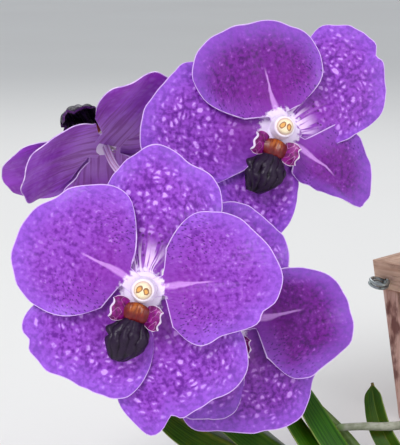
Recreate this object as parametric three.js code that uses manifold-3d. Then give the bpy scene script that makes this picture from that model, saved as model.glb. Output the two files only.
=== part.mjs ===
// Potted vanda orchid: a square tapered wooden basket filled with bark, a stem that leans over its rim and
// rests on the surface, two ranks of strap leaves, aerial roots, and a flower spike with four violet blooms.
// Millimetres, +Z up. The origin is the middle of the basket's underside. +X is the viewer's right and
// +Y points away from the viewer, who looks down at the blooms by lookDown degrees.
import * as THREE from "three";
import { mergeVertices } from "three/addons/utils/BufferGeometryUtils.js";
import Module from "manifold-3d";

// Driving dimensions

const gap = 0.3; // left between pieces that touch
const lookDown = 12; // degrees below the horizontal at which the blooms are seen

const basketHeight = 95;
const basketTopHalf = 65; // half of the basket's side at its rim
const basketFootHalf = 55; // and at its foot
const rimHeight = 16;
const rimWidth = 14;
const postWidth = 12;
const postChamfer = 3;
const rimProud = 1.5; // how far the rim boards stand out past the posts
const panelRecess = 3; // how far the panels lie behind the posts' faces
const panelThickness = 5;
const boardThickness = 6; // of the base

const eyeRadius = 5; // to the middle of the wire of the screw eyes' double ring
const eyeWire = 0.9;
const eyeTurn = 700; // degrees through which the wire goes round
const eyeHeight = 84;
const eyeFromCorner = 8; // along the rim board
const eyeReach = 0.6; // from the board's face to the ring

const barkTop = 74; // height of the bark's fairly even top, under its loose lumps
const barkLumps = 20;
const barkLumpSize = 17;

const stemRadius = 7;
const rootRadius = 2.3;
const spikeRadius = 2.6;
const pedicelRadius = 1.7;

const leafThickness = 1.5;
const tepalThickness = 1.1;
const hubRadius = 6.5; // of the disc in which the five tepals join
const hubHalfDepth = 2;

// Colours and finishes

const finishes = {
  rimWood: [0xb39a8a, 0.85, 0],
  postWood: [0x9d7c72, 0.85, 0],
  panelWood: [0x6f5a4d, 0.9, 0],
  bark: [0x4c3526, 0.95, 0],
  steel: [0x8b9190, 0.4, 0.9],
  stem: [0x6d7350, 0.7, 0],
  leaf: [0x2f6b1c, 0.42, 0],
  root: [0xa9ac98, 0.75, 0],
  spike: [0x5f7a3a, 0.55, 0],
  pedicel: [0xcdb7d6, 0.55, 0],
  tepal: [0x8a45c8, 0.6, 0],
  column: [0xf4eff0, 0.45, 0],
  throat: [0xb02a86, 0.45, 0],
  lip: [0x2b1c38, 0.4, 0],
};

const part = new THREE.Group();

function addNode(name, geometry, finish, parent = part) {
  const [color, roughness, metalness] = finishes[finish];
  const mesh = new THREE.Mesh(geometry, new THREE.MeshStandardMaterial({ color, roughness, metalness }));
  mesh.name = name;
  parent.add(mesh);
  return mesh;
}

// Joining and cutting

const wasm = await Module();
wasm.setup();

function toSolid(geometry) {
  const bare = geometry.clone();
  bare.deleteAttribute("normal");
  bare.deleteAttribute("uv");
  const merged = mergeVertices(bare, 1e-4);
  const vertProperties = new Float32Array(merged.attributes.position.array);
  const triVerts = new Uint32Array(merged.index.array);
  return new wasm.Manifold(new wasm.Mesh({ numProp: 3, vertProperties, triVerts }));
}

function toGeometry(solid) {
  const mesh = solid.getMesh();
  const geometry = new THREE.BufferGeometry();
  geometry.setAttribute("position", new THREE.BufferAttribute(mesh.vertProperties, 3));
  geometry.setIndex(new THREE.BufferAttribute(mesh.triVerts, 1));
  geometry.computeVertexNormals();
  return geometry;
}

// The largest body of a solid, so that no loose scrap of a cut stays.
function largestBody(solid) {
  const bodies = solid.decompose();
  return bodies.reduce((best, body) => (body.volume() > best.volume() ? body : best));
}

function joined(geometries) {
  const solids = geometries.map(toSolid);
  return toGeometry(largestBody(solids.reduce((sum, solid) => sum.add(solid))));
}

function cutBy(geometry, cutters) {
  const solid = cutters.reduce((rest, cutter) => rest.subtract(toSolid(cutter)), toSolid(geometry));
  return toGeometry(largestBody(solid));
}

// Shared shapes

const degrees = THREE.MathUtils.degToRad;

// The same random numbers at each run.
function seededRandom(seed) {
  let state = seed;
  return () => {
    state = (state * 16807) % 2147483647;
    return state / 2147483647;
  };
}

function points(list) {
  return list.map(([x, y, z]) => new THREE.Vector3(x, y, z));
}

// A value read from an even list of values by a smooth curve through them, at a place from 0 to 1.
function smoothValue(list, place) {
  const at = place * (list.length - 1);
  const i = Math.min(Math.floor(at), list.length - 2);
  const t = at - i;
  const a = list[Math.max(i - 1, 0)];
  const b = list[i];
  const c = list[i + 1];
  const d = list[Math.min(i + 2, list.length - 1)];
  const slope = (c - a) / 2;
  const curve = a - 2.5 * b + 2 * c - d / 2;
  const turn = (3 * b - a - 3 * c + d) / 2;
  return b + slope * t + curve * t * t + turn * t * t * t;
}

// A thin blade between a front and a back skin. Both come from the same grid and are split alike.
function blade(rows, columns, frontPoint, backPoint) {
  const positions = [];
  for (const skin of [frontPoint, backPoint]) {
    for (let i = 0; i <= rows; i++) {
      for (let j = 0; j <= columns; j++) {
        positions.push(...skin(i / rows, (2 * j) / columns - 1).toArray());
      }
    }
  }
  const skinSize = (rows + 1) * (columns + 1);
  const index = (i, j, back) => i * (columns + 1) + j + (back ? skinSize : 0);
  const faces = [];
  for (let i = 0; i < rows; i++) {
    for (let j = 0; j < columns; j++) {
      const [a, b, c, d] = [index(i, j), index(i, j + 1), index(i + 1, j + 1), index(i + 1, j)];
      faces.push(a, b, c, a, c, d);
      faces.push(a + skinSize, c + skinSize, b + skinSize, a + skinSize, d + skinSize, c + skinSize);
    }
  }
  const rim = [];
  for (let j = 0; j < columns; j++) rim.push([0, j]);
  for (let i = 0; i < rows; i++) rim.push([i, columns]);
  for (let j = columns; j > 0; j--) rim.push([rows, j]);
  for (let i = rows; i > 0; i--) rim.push([i, 0]);
  rim.forEach(([i, j], k) => {
    const [m, n] = rim[(k + 1) % rim.length];
    const [a, b, c, d] = [index(i, j), index(m, n), index(m, n, true), index(i, j, true)];
    faces.push(a, d, c, a, c, b);
  });
  const geometry = new THREE.BufferGeometry();
  geometry.setAttribute("position", new THREE.Float32BufferAttribute(positions, 3));
  geometry.setIndex(faces);
  geometry.computeVertexNormals();
  return facingOut(geometry);
}

// Turns every face round if the closed shape is inside out.
function facingOut(geometry) {
  const place = geometry.attributes.position;
  const corner = [new THREE.Vector3(), new THREE.Vector3(), new THREE.Vector3()];
  const faces = geometry.index.array;
  let volume = 0;
  for (let i = 0; i < faces.length; i += 3) {
    corner.forEach((point, k) => point.fromBufferAttribute(place, faces[i + k]));
    volume += corner[0].dot(corner[1].clone().cross(corner[2]));
  }
  if (volume < 0) {
    for (let i = 0; i < faces.length; i += 3) {
      [faces[i + 1], faces[i + 2]] = [faces[i + 2], faces[i + 1]];
    }
  }
  return geometry;
}

// A closed tube whose radius changes along its path.
function tube(path, steps, sides, radiusAt) {
  const section = new THREE.Shape();
  section.absarc(0, 0, 1, 0, 2 * Math.PI);
  const geometry = new THREE.ExtrudeGeometry(section, {
    steps,
    curveSegments: sides / 2, // a full turn is split into twice this number
    bevelEnabled: false,
    extrudePath: path,
  });
  return swollen(geometry, path, steps, radiusAt);
}

// Moves each ring of a tube of radius 1 out to the radius that its place asks for.
function swollen(geometry, path, steps, radiusAt) {
  const centres = path.getSpacedPoints(steps);
  const place = geometry.attributes.position;
  const point = new THREE.Vector3();
  for (let i = 0; i < place.count; i++) {
    point.fromBufferAttribute(place, i);
    const nearest = centres.reduce((best, c, k) => {
      const away = Math.abs(c.distanceTo(point) - 1);
      return away < best.away ? { away, k } : best;
    }, { away: Infinity, k: 0 });
    const centre = centres[nearest.k];
    point.sub(centre).multiplyScalar(radiusAt(nearest.k / steps)).add(centre);
    place.setXYZ(i, point.x, point.y, point.z);
  }
  return geometry;
}

// Basket: its sides are built along X and Y and then turned so that a corner points at +X

const basket = new THREE.Group();
basket.rotation.z = degrees(45);
part.add(basket);

function halfSide(height) {
  return basketFootHalf + ((basketTopHalf - basketFootHalf) * height) / basketHeight;
}

// A board of one side, between two heights, from its outer face inwards. endAt gives half its length
// from the distance of a face to the basket's middle.
function sideBoard(low, high, setBack, thickness, endAt) {
  const geometry = new THREE.BoxGeometry(1, 1, 1);
  const place = geometry.attributes.position;
  for (let i = 0; i < place.count; i++) {
    const height = place.getZ(i) > 0 ? high : low;
    const outward = halfSide(height) - setBack - (place.getY(i) > 0 ? thickness : 0);
    place.setXYZ(i, 2 * place.getX(i) * endAt(outward, height), -outward, height);
  }
  return geometry;
}

const rimLow = basketHeight - rimHeight;

// Screw eyes: a ring of two turns of wire on a shank that stands in a hole in each rim board
const shankLength = 6;
const shankRadius = 1.1;
const eyeAcross = -(halfSide(eyeHeight) - eyeFromCorner);
const eyeFace = halfSide(eyeHeight);

function shank(radius, from, to) {
  const geometry = new THREE.CylinderGeometry(radius, radius, to - from, 8);
  geometry.translate(eyeAcross, -(from + to) / 2, eyeHeight);
  return geometry;
}

class DoubleRing extends THREE.Curve {
  getPoint(t, target = new THREE.Vector3()) {
    const angle = degrees(90 + t * eyeTurn);
    const height = ((t - 0.5) * (2 * eyeWire + gap) * eyeTurn) / 360;
    return target.set(eyeRadius * Math.cos(angle), eyeRadius * Math.sin(angle), height);
  }
}

const ringSteps = 24;
const ringSides = 6;

function eyeShape() {
  const ring = tube(new DoubleRing(), ringSteps, ringSides, () => eyeWire);
  ring.translate(eyeAcross, -(eyeFace + eyeReach + eyeWire + eyeRadius), eyeHeight);
  return joined([ring, shank(shankRadius, eyeFace - shankLength, eyeFace + eyeReach + eyeWire)]);
}

for (let side = 0; side < 4; side++) {
  const mitre = (outward) => outward - gap;
  const rimShape = sideBoard(rimLow, basketHeight, 0, rimWidth, mitre);
  const hole = shank(shankRadius + gap, eyeFace - shankLength - gap, eyeFace + shankLength);
  const rim = addNode(`rim_board_${side + 1}`, cutBy(rimShape, [hole]), "rimWood", basket);
  rim.rotation.z = side * degrees(90);
  const eye = addNode(`screw_eye_${side + 1}`, eyeShape(), "steel", basket);
  eye.rotation.z = side * degrees(90);

  const betweenPosts = (outward, height) => halfSide(height) - rimProud - postWidth - gap;
  const panelBack = rimProud + panelRecess;
  const panelShape = sideBoard(0, rimLow - gap, panelBack, panelThickness, betweenPosts);
  const panel = addNode(`side_panel_${side + 1}`, panelShape, "panelWood", basket);
  panel.rotation.z = side * degrees(90);
}

// Corner posts: a square section with a chamfered outer edge, leaning out with the basket's taper
function postSection() {
  const section = new THREE.Shape();
  section.moveTo(0, 0);
  section.lineTo(postWidth, 0);
  section.lineTo(postWidth, postWidth - postChamfer);
  section.lineTo(postWidth - postChamfer, postWidth);
  section.lineTo(0, postWidth);
  return section;
}

const lean = (basketTopHalf - basketFootHalf) / basketHeight;

// The outer edge of a post at a height, as its distance from the middle along X and along Y.
function postCorner(height) {
  return halfSide(height) - rimProud;
}

for (let corner = 0; corner < 4; corner++) {
  const post = new THREE.ExtrudeGeometry(postSection(), { depth: rimLow - gap, bevelEnabled: false });
  post.translate(postCorner(0) - postWidth, postCorner(0) - postWidth, 0);
  post.applyMatrix4(new THREE.Matrix4().makeShear(0, 0, 0, 0, lean, lean));
  const mesh = addNode(`corner_post_${corner + 1}`, post, "postWood", basket);
  mesh.rotation.z = corner * degrees(90);
}

const wellHalf = (height) => halfSide(height) - rimProud - panelRecess - panelThickness - gap;
const baseShape = new THREE.BoxGeometry(2 * wellHalf(0), 2 * wellHalf(0), boardThickness);
baseShape.translate(0, 0, boardThickness / 2);

// What keeps a board or the bark clear of the four posts, at one height.
function postClearances(height) {
  const inner = postCorner(height) - postWidth - gap;
  const block = 4 * postWidth;
  return [0, 1, 2, 3].map((corner) => {
    const box = new THREE.BoxGeometry(block, block, 2 * basketHeight);
    box.translate(inner + block / 2, inner + block / 2, 0);
    box.rotateZ(corner * degrees(90));
    return box;
  });
}

addNode("base_board", cutBy(baseShape, postClearances(0)), "panelWood", basket);

// Stem: it stands in the bark, leans over the rim between two corners, rests on the surface with a flat
// spot, and turns up into the leafy crown.
const stemPath = new THREE.CatmullRomCurve3(
  points([
    [14, 12, 34],
    [6, 2, 78],
    [-14, -20, 111],
    [-42, -56, 121],
    [-66, -92, 104],
    [-80, -122, 66],
    [-86, -142, 28],
    [-92, -152, 4.5],
    [-100, -158.5, 5],
    [-108, -161, 22],
    [-114, -162, 42],
  ]),
);
const stemSteps = 36;
const stemSides = 8;
const stemTaper = (t) => stemRadius * (t > 0.9 ? 1 - 4.5 * (t - 0.9) : 1);
const stemTube = tube(stemPath, stemSteps, stemSides, stemTaper);
const fatStem = tube(stemPath, stemSteps, stemSides, (t) => stemTaper(t) + gap);
const surface = new THREE.BoxGeometry(900, 900, 60);
surface.translate(0, 0, -30);
addNode("stem", cutBy(stemTube, [surface]), "stem");

// Aerial roots: long cords that leave the stem and grow into the bark or hang in the air

const rootPaths = {
  aerial_root_long: [
    [-82, -124, 44], [-90, -125, 43.5], [-100, -126, 43], [-113, -126, 43], [-125, -126.5, 42.5],
  ],
  aerial_root_bark: [[-30, -38, 118], [-26, -30, 108], [-22, -24, 96], [-20, -20, 84], [-20, -18, 66]],
  aerial_root_rim: [[-12, -16, 108], [4, -22, 106], [14, -26, 96], [18, -26, 84], [20, -26, 66]],
  aerial_root_side: [[-58, -80, 110], [-46, -96, 100], [-40, -106, 72], [-44, -112, 40], [-48, -122, 14]],
  aerial_root_low: [[-80, -138, 34], [-68, -134, 22], [-58, -136, 10], [-48, -140, 3], [-30, -146, 2.2]],
};
const rootSteps = 14;
const slimSides = 6; // of the roots, the spike and the pedicels
const rootTaper = (t) => rootRadius * (1 - 0.25 * t);
const rootSolids = {};
for (const [name, route] of Object.entries(rootPaths)) {
  const path = new THREE.CatmullRomCurve3(points(route));
  rootSolids[name] = tube(path, rootSteps, slimSides, (t) => rootTaper(t) + gap);
  addNode(name, cutBy(tube(path, rootSteps, slimSides, rootTaper), [fatStem, surface]), "root");
}

// Bark: one body that fills the basket, with loose lumps sunk into its top and holes for stem and roots

function barkFill() {
  const random = seededRandom(7);
  const fillLow = boardThickness + gap;
  const fill = new THREE.BoxGeometry(1, 1, 1);
  const place = fill.attributes.position;
  for (let i = 0; i < place.count; i++) {
    const height = place.getZ(i) > 0 ? barkTop : fillLow;
    place.setXYZ(i, 2 * place.getX(i) * wellHalf(height), 2 * place.getY(i) * wellHalf(height), height);
  }
  const lumps = [];
  for (let i = 0; i < barkLumps; i++) {
    const size = barkLumpSize * (0.7 + 0.6 * random());
    const lump = new THREE.BoxGeometry(size, size * 0.7, size * 0.5);
    lump.rotateX((random() - 0.5) * 1.2);
    lump.rotateY((random() - 0.5) * 1.2);
    lump.rotateZ(random() * Math.PI);
    const reach = halfSide(rimLow) - rimWidth - gap - 0.72 * size;
    lump.translate(reach * (2 * random() - 1), reach * (2 * random() - 1), barkTop + 1.5 + 2.5 * random());
    lumps.push(lump);
  }
  const cutters = postClearances(fillLow).concat(
    [fatStem, rootSolids.aerial_root_bark, rootSolids.aerial_root_rim].map((solid) =>
      solid.clone().rotateZ(degrees(-45)),
    ),
  );
  return cutBy(joined([fill, ...lumps]), cutters);
}

addNode("bark", barkFill(), "bark", basket);

// Leaves: folded straps in two ranks. Each follows a path from the stem. roll turns the strap about its
// path, and fold is how far each half is folded up from flat, both from base to tip in degrees.

const leaves = {
  leaf_left_low: {
    path: [[-96, -158, 12], [-118, -166, 22], [-150, -172, 26], [-186, -178, 16], [-212, -182, 4]],
    width: 30, roll: [0, 0], fold: [45, 12],
  },
  leaf_outer: {
    path: [
      [-102, -158, 10], [-120, -154, 17], [-146, -149, 28], [-172, -143, 38], [-198, -136, 47], [-216, -130, 50],
    ],
    width: 30, roll: [-25, -30], fold: [48, 20],
  },
  leaf_second: {
    path: [
      [-104, -158, 16], [-120, -152, 24], [-140, -147, 33], [-159, -141, 44], [-178, -134, 55], [-193, -127, 62],
    ],
    width: 26, roll: [-20, -35], fold: [50, 25],
  },
  leaf_third: {
    path: [[-106, -158, 21], [-120, -151, 30], [-134, -145, 43], [-145, -137, 56], [-154, -128, 70]],
    width: 26, roll: [5, 0], fold: [52, 30],
  },
  leaf_top: {
    path: [[-107, -158, 26], [-116, -151, 36], [-127, -145, 51], [-136, -138, 63], [-144, -130, 74]],
    width: 26, roll: [-10, -12], fold: [52, 30],
  },
  leaf_small: {
    path: [[-88, -128, 26], [-96, -124, 32], [-101, -118, 40], [-104, -113, 50], [-105, -109, 59]],
    width: 13, roll: [70, 60], fold: [30, 18],
  },
  leaf_right_low: {
    path: [[-82, -140, 22], [-58, -156, 36], [-24, -168, 36], [16, -176, 18], [44, -182, 3]],
    width: 30, roll: [180, 180], fold: [45, 12],
  },
  leaf_right_mid: {
    path: [[-80, -134, 42], [-60, -146, 58], [-28, -154, 66], [12, -160, 56], [44, -164, 34]],
    width: 28, roll: [180, 180], fold: [48, 14],
  },
};

// Half the width of a strap along its length: narrow where it clasps the stem, cut short at the tip.
const leafWidths = [0.55, 0.85, 1, 1, 0.98, 0.92, 0.82, 0.66, 0.3];
const leafRows = 12;
const leafColumns = 4;

// grown makes the same leaf larger all over by that much, to cut what lies against it.
function leafShape({ path, width, roll, fold }, grown = 0) {
  const curve = new THREE.CatmullRomCurve3(points(path));
  const depthAxis = new THREE.Vector3(0, 1, 0);
  const skin = (raise) => (s, t) => {
    const centre = curve.getPointAt(s);
    const along = curve.getTangentAt(s);
    const side = depthAxis.clone().addScaledVector(along, -along.dot(depthAxis)).normalize();
    side.applyAxisAngle(along, degrees(roll[0] + (roll[1] - roll[0]) * s));
    const up = along.clone().cross(side);
    const half = (width / 2) * smoothValue(leafWidths, s) + grown;
    const folded = degrees(fold[0] + (fold[1] - fold[0]) * s);
    return centre
      .addScaledVector(side, half * t * Math.cos(folded))
      .addScaledVector(up, half * Math.abs(t) * Math.sin(folded) + raise);
  };
  return blade(leafRows, leafColumns, skin(leafThickness + 2 * grown), skin(-2 * grown));
}

// Each leaf is cut where it meets the stem, the long root and the leaves under it.
const leafCutters = [fatStem, surface, rootSolids.aerial_root_long];
for (const [name, leaf] of Object.entries(leaves)) {
  addNode(name, cutBy(leafShape(leaf), leafCutters), "leaf");
  leafCutters.push(leafShape(leaf, gap));
}

// Flower spike: it leaves the stem behind the lowest leaves and rises past them

const spikePath = new THREE.CatmullRomCurve3(
  points([
    [-98, -157, 13],
    [-101, -146, 15],
    [-106, -134, 21],
    [-116, -121, 33],
    [-134, -118, 51],
    [-152, -119, 68],
    [-168, -117, 88],
    [-180, -112, 110],
    [-186, -106, 136],
    [-186, -102, 162],
    [-182, -98, 186],
  ]),
);
const spikeSteps = 28;
const spikeTaper = (t) => spikeRadius * (1 - 0.45 * t);
const fatSpike = tube(spikePath, spikeSteps, slimSides, (t) => spikeTaper(t) + gap);
addNode("flower_spike", cutBy(tube(spikePath, spikeSteps, slimSides, spikeTaper), leafCutters), "spike");

// Blooms. A tepal is a claw that fans out into a blade. base is where the fan starts from the bloom's
// middle, turn the direction it points in, spread half the angle of the fan, and reach how far the blade
// goes at nine even angles over the fan, from the clockwise side round. lift, rise and bend give its
// height in front of the bloom's plane: at its base, and to its tip in a line and a curve. wave is the
// height of the waves along its edge, and waves their number.

const facingBlooms = {
  front_bloom: {
    place: [-214.2, -180.1, 125], yaw: 0, nod: 0, lipTurn: -17, columnAt: [0, 0],
    spikeAt: 0.66, bow: [-18, -10],
    tepals: {
      dorsal: { base: [0, 9.8], turn: 84, spread: 62, reach: [20, 38, 48, 49, 53, 46, 36, 22, 10],
        lift: -1, rise: -4, bend: 3, wave: 1.2, waves: 2.5, phase: 0.4 },
      petal_left: { base: [-7.5, 6.4], turn: 150, spread: 80, reach: [5, 33, 41, 45, 49, 48, 42, 29, 12],
        lift: 1.4, rise: 4, bend: -2, wave: 1.2, waves: 2, phase: 1 },
      petal_right: { base: [8.8, 2.6], turn: 4, spread: 80, reach: [14, 30, 35, 45, 51, 47, 42, 33, 12],
        lift: 1.4, rise: 4, bend: -3, wave: 1.3, waves: 2.2, phase: 2 },
      lateral_left: { base: [-4.9, -3.8], turn: 232, spread: 62, reach: [14, 40, 48, 49, 44, 42, 42, 30, 14],
        lift: -1.2, rise: -1.5, bend: -1, wave: 1, waves: 2, phase: 0 },
      lateral_right: { base: [3.6, -5.6], turn: 300, spread: 62, reach: [16, 43, 54, 51, 50, 52, 45, 32, 14],
        lift: -1.6, rise: -5.4, bend: -1, wave: 1, waves: 2.5, phase: 2 },
    },
  },
  upper_bloom: {
    place: [-151.3, -126, 183], yaw: 10, nod: 0, lipTurn: -22, columnAt: [-2, 4],
    spikeAt: 0.94, bow: [14, 4],
    tepals: {
      dorsal: { base: [3.7, 6], turn: 30, spread: 50, reach: [19, 28, 41, 49, 54, 57, 54, 47, 22],
        lift: -1, rise: -3, bend: -1, wave: 1.4, waves: 2, phase: 1 },
      petal_left: { base: [-2.8, 11], turn: 105, spread: 80, reach: [7, 25, 37, 41, 43, 46, 45, 32, 12],
        lift: 1.4, rise: 4, bend: -2, wave: 1.2, waves: 2, phase: 0.5 },
      petal_right: { base: [6.9, -4.1], turn: 322, spread: 62, reach: [9, 12, 18, 28, 41, 38, 33, 26, 17],
        lift: 1.2, rise: -4, bend: -8, wave: 2, waves: 1.5, phase: 1.5 },
      lateral_left: { base: [-7.8, 2.8], turn: 170, spread: 62, reach: [16, 32, 48, 52, 58, 58, 50, 34, 16],
        lift: -1.2, rise: -1.5, bend: 0, wave: 1.2, waves: 2, phase: 2 },
      lateral_right: { base: [-4.1, -6], turn: 262, spread: 62, reach: [24, 32, 38, 42, 43, 34, 22, 14, 10],
        lift: -1.6, rise: -5.4, bend: -2, wave: 1, waves: 2, phase: 0 },
    },
  },
  lower_bloom: {
    place: [-178.5, -158.5, 104], yaw: 4, nod: 0, lipTurn: -5, columnAt: [0, 0],
    spikeAt: 0.56, bow: [10, -12],
    tepals: {
      dorsal: { base: [5, 7], turn: 84, spread: 60, reach: [10, 26, 36, 41, 47, 47, 38, 22, 12],
        lift: -1, rise: -3, bend: 0, wave: 1.4, waves: 2.5, phase: 1 },
      petal_left: { base: [-7, 1], turn: 178, spread: 75, reach: [10, 17, 23, 29, 35, 38, 34, 26, 12],
        lift: 1.4, rise: 1, bend: -2, wave: 1, waves: 2, phase: 1 },
      petal_right: { base: [13, 2], turn: 8, spread: 80, reach: [14, 31, 36, 44, 43, 38, 28, 20, 10],
        lift: 1.4, rise: 3, bend: -2, wave: 1.2, waves: 2.2, phase: 2.4 },
      lateral_left: { base: [-3, -7], turn: 245, spread: 60, reach: [14, 30, 36, 38, 38, 36, 34, 24, 12],
        lift: -1.2, rise: -1.5, bend: -1, wave: 1, waves: 2, phase: 0 },
      lateral_right: { base: [9, -6.5], turn: 290, spread: 65, reach: [40, 46, 43, 43, 45, 44, 36, 32, 14],
        lift: -1.6, rise: -5.4, bend: -1, wave: 1, waves: 2, phase: 2 },
    },
  },
  rear_bloom: {
    place: [-236, -98, 176], yaw: -150, nod: -26, lipTurn: 135, columnAt: [0, 0],
    spikeAt: 0.85, bow: [0, -14],
    tepals: {
      dorsal: { base: [-2, -8], turn: 256, spread: 60, reach: [18, 34, 42, 45, 46, 44, 38, 26, 12],
        lift: -1, rise: -3, bend: 2, wave: 1.2, waves: 2, phase: 0.4 },
      petal_left: { base: [6, -5], turn: 319, spread: 66, reach: [10, 26, 36, 42, 45, 42, 36, 26, 12],
        lift: 1.4, rise: 4, bend: 4, wave: 1.2, waves: 2, phase: 1 },
      petal_right: { base: [-8, 0], turn: 184, spread: 72, reach: [10, 28, 38, 43, 46, 45, 38, 28, 12],
        lift: 1.4, rise: 3, bend: 4, wave: 1.2, waves: 2.2, phase: 2 },
      lateral_left: { base: [7, 1], turn: 5, spread: 66, reach: [16, 30, 37, 41, 42, 40, 36, 28, 14],
        lift: -1.2, rise: -8, bend: -14, wave: 1, waves: 2, phase: 0 },
      lateral_right: { base: [-3, 7], turn: 109, spread: 60, reach: [16, 34, 40, 44, 45, 43, 38, 30, 14],
        lift: -1.6, rise: -3.4, bend: -4, wave: 1, waves: 2, phase: 2 },
    },
  },
};

const clawHalf = 3; // half the width of a tepal's claw
const clawFrom = 0.2; // share of the way out to base at which the claw starts
const tepalRows = 7; // the first is the claw
const tepalColumns = 8;
const bladeLength = 50; // to which rise and bend are given

function tepalShape({ base, turn, spread, reach, lift, rise, bend, wave, waves, phase }) {
  const start = new THREE.Vector3(base[0], base[1], 0);
  const clawSide = new THREE.Vector3(-Math.sin(degrees(turn)), Math.cos(degrees(turn)), 0);
  const skin = (raise) => (row, t) => {
    const across = clawSide.clone().multiplyScalar(clawHalf * t);
    if (row === 0) {
      return start.clone().multiplyScalar(clawFrom).add(across).setZ(lift + raise);
    }
    const s = (row * tepalRows - 1) / (tepalRows - 1);
    const angle = degrees(turn + spread * t);
    const out = s * smoothValue(reach, (t + 1) / 2);
    const far = out / bladeLength;
    const height = lift + rise * far + bend * far * far;
    const ripple = wave * s * s * Math.sin(waves * Math.PI * t + phase);
    return start
      .clone()
      .add(across)
      .add(new THREE.Vector3(out * Math.cos(angle), out * Math.sin(angle), 0))
      .setZ(height + ripple + raise);
  };
  return blade(tepalRows, tepalColumns, skin(tepalThickness / 2), skin(-tepalThickness / 2));
}

function hub() {
  const disc = new THREE.SphereGeometry(hubRadius, 12, 6);
  disc.rotateX(degrees(90));
  disc.scale(1, 1, hubHalfDepth / hubRadius);
  return disc;
}

// The column: a stout white post with the anther cap at its end.
const columnFoot = hubHalfDepth + gap;
function columnShape() {
  const profile = [
    [0, 0], [5.2, 0], [4.6, 1.6], [3.9, 3.6], [3.7, 5.8], [3.9, 7], [3.3, 8.6], [1.8, 9.6], [0, 9.9],
  ].map(([radius, height]) => new THREE.Vector2(radius, height));
  const column = new THREE.LatheGeometry(profile, 10);
  column.rotateX(degrees(90));
  column.translate(0, 0.8, columnFoot);
  return column;
}

// The throat of the lip: two ears that stand up beside a low callus.
const throatAt = -9.5; // its middle, below the column
function throatShape() {
  const ear = (side) => {
    const skin = (raise) => (s, t) => {
      const width = 3.4 + 1.2 * Math.sin(Math.PI * s);
      return new THREE.Vector3(
        side * (2.4 + 5.4 * s) + raise,
        throatAt + t * width,
        3 + 5.5 * s - 1.4 * t * t * s,
      );
    };
    return blade(3, 3, skin(0.6), skin(-0.6));
  };
  const callus = new THREE.SphereGeometry(1, 8, 5);
  callus.scale(4.6, 5, 1.7);
  callus.translate(0, throatAt, 4.2);
  return joined([callus, ear(1), ear(-1)]);
}

// The lip's middle lobe: a thick tongue with raised keels along it.
const lipLength = 17;
const lipHalf = 8.4;
const lipStart = -14.8;
const lipKeels = 5;
const lipWidths = [0.5, 0.72, 0.92, 1, 0.96, 0.8, 0.5];
function lipShape() {
  const middle = (s, t) =>
    new THREE.Vector3(
      lipHalf * smoothValue(lipWidths, s) * t,
      lipStart - lipLength * s,
      4.6 + 4 * Math.sin(2.2 * s) - 2.4 * t * t - 4 * s * s,
    );
  const front = (s, t) => {
    const keel = 0.9 * Math.cos(lipKeels * Math.PI * t) * Math.sin(Math.PI * Math.min(s + 0.1, 1));
    return middle(s, t).add(new THREE.Vector3(0, 0, 1.3 + keel));
  };
  const back = (s, t) => middle(s, t).add(new THREE.Vector3(0, 0, -1));
  return blade(7, 10, front, back);
}

const columnGeometry = columnShape();
const throatGeometry = throatShape();
const lipGeometry = lipShape();
const upright = 90 - lookDown;
const straightBehind = 14; // of the pedicel, behind the hub
const pedicelSteps = 12;

for (const [name, bloom] of Object.entries(facingBlooms)) {
  const { place, yaw, nod, lipTurn, columnAt, tepals, spikeAt, bow } = bloom;
  const facing = new THREE.Group();
  facing.position.set(...place);
  facing.rotation.set(degrees(upright + nod), 0, degrees(yaw), "ZXY");
  part.add(facing);

  addNode(`${name}_tepals`, joined([hub(), ...Object.values(tepals).map(tepalShape)]), "tepal", facing);
  const lipSide = new THREE.Group();
  lipSide.position.set(...columnAt, 0);
  lipSide.rotation.z = degrees(lipTurn);
  facing.add(lipSide);
  addNode(`${name}_column`, columnGeometry, "column", lipSide);
  addNode(`${name}_throat`, throatGeometry, "throat", lipSide);
  addNode(`${name}_lip`, lipGeometry, "lip", lipSide);

  // The pedicel joins the spike to the back of the hub in a bow.
  facing.updateMatrixWorld(true);
  const hubBack = facing.localToWorld(new THREE.Vector3(0, 0, -hubHalfDepth - gap));
  const behind = facing.localToWorld(new THREE.Vector3(0, 0, -hubHalfDepth - straightBehind));
  const root = spikePath.getPointAt(spikeAt);
  const sag = root.clone().lerp(behind, 0.5).add(new THREE.Vector3(bow[0], 0, bow[1]));
  const path = new THREE.CatmullRomCurve3([root, sag, behind, hubBack]);
  const pedicel = tube(path, pedicelSteps, slimSides, () => pedicelRadius);
  addNode(`${name}_pedicel`, cutBy(pedicel, [fatSpike]), "pedicel");
}

export default part;
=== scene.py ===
import math
import random

import bpy
from mathutils import Euler, Matrix, Vector, noise


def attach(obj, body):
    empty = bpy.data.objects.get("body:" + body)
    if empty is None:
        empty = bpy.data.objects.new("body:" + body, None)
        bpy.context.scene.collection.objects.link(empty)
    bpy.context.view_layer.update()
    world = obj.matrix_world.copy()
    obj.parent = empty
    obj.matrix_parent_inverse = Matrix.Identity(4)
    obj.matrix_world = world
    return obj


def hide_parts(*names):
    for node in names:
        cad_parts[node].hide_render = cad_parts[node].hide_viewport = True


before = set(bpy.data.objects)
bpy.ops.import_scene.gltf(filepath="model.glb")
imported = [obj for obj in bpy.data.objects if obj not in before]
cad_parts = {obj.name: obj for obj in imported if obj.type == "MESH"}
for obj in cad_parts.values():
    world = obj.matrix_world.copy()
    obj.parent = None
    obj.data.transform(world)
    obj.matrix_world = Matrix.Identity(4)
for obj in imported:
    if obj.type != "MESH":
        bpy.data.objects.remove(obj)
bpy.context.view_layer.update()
MM = 0.001


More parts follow.
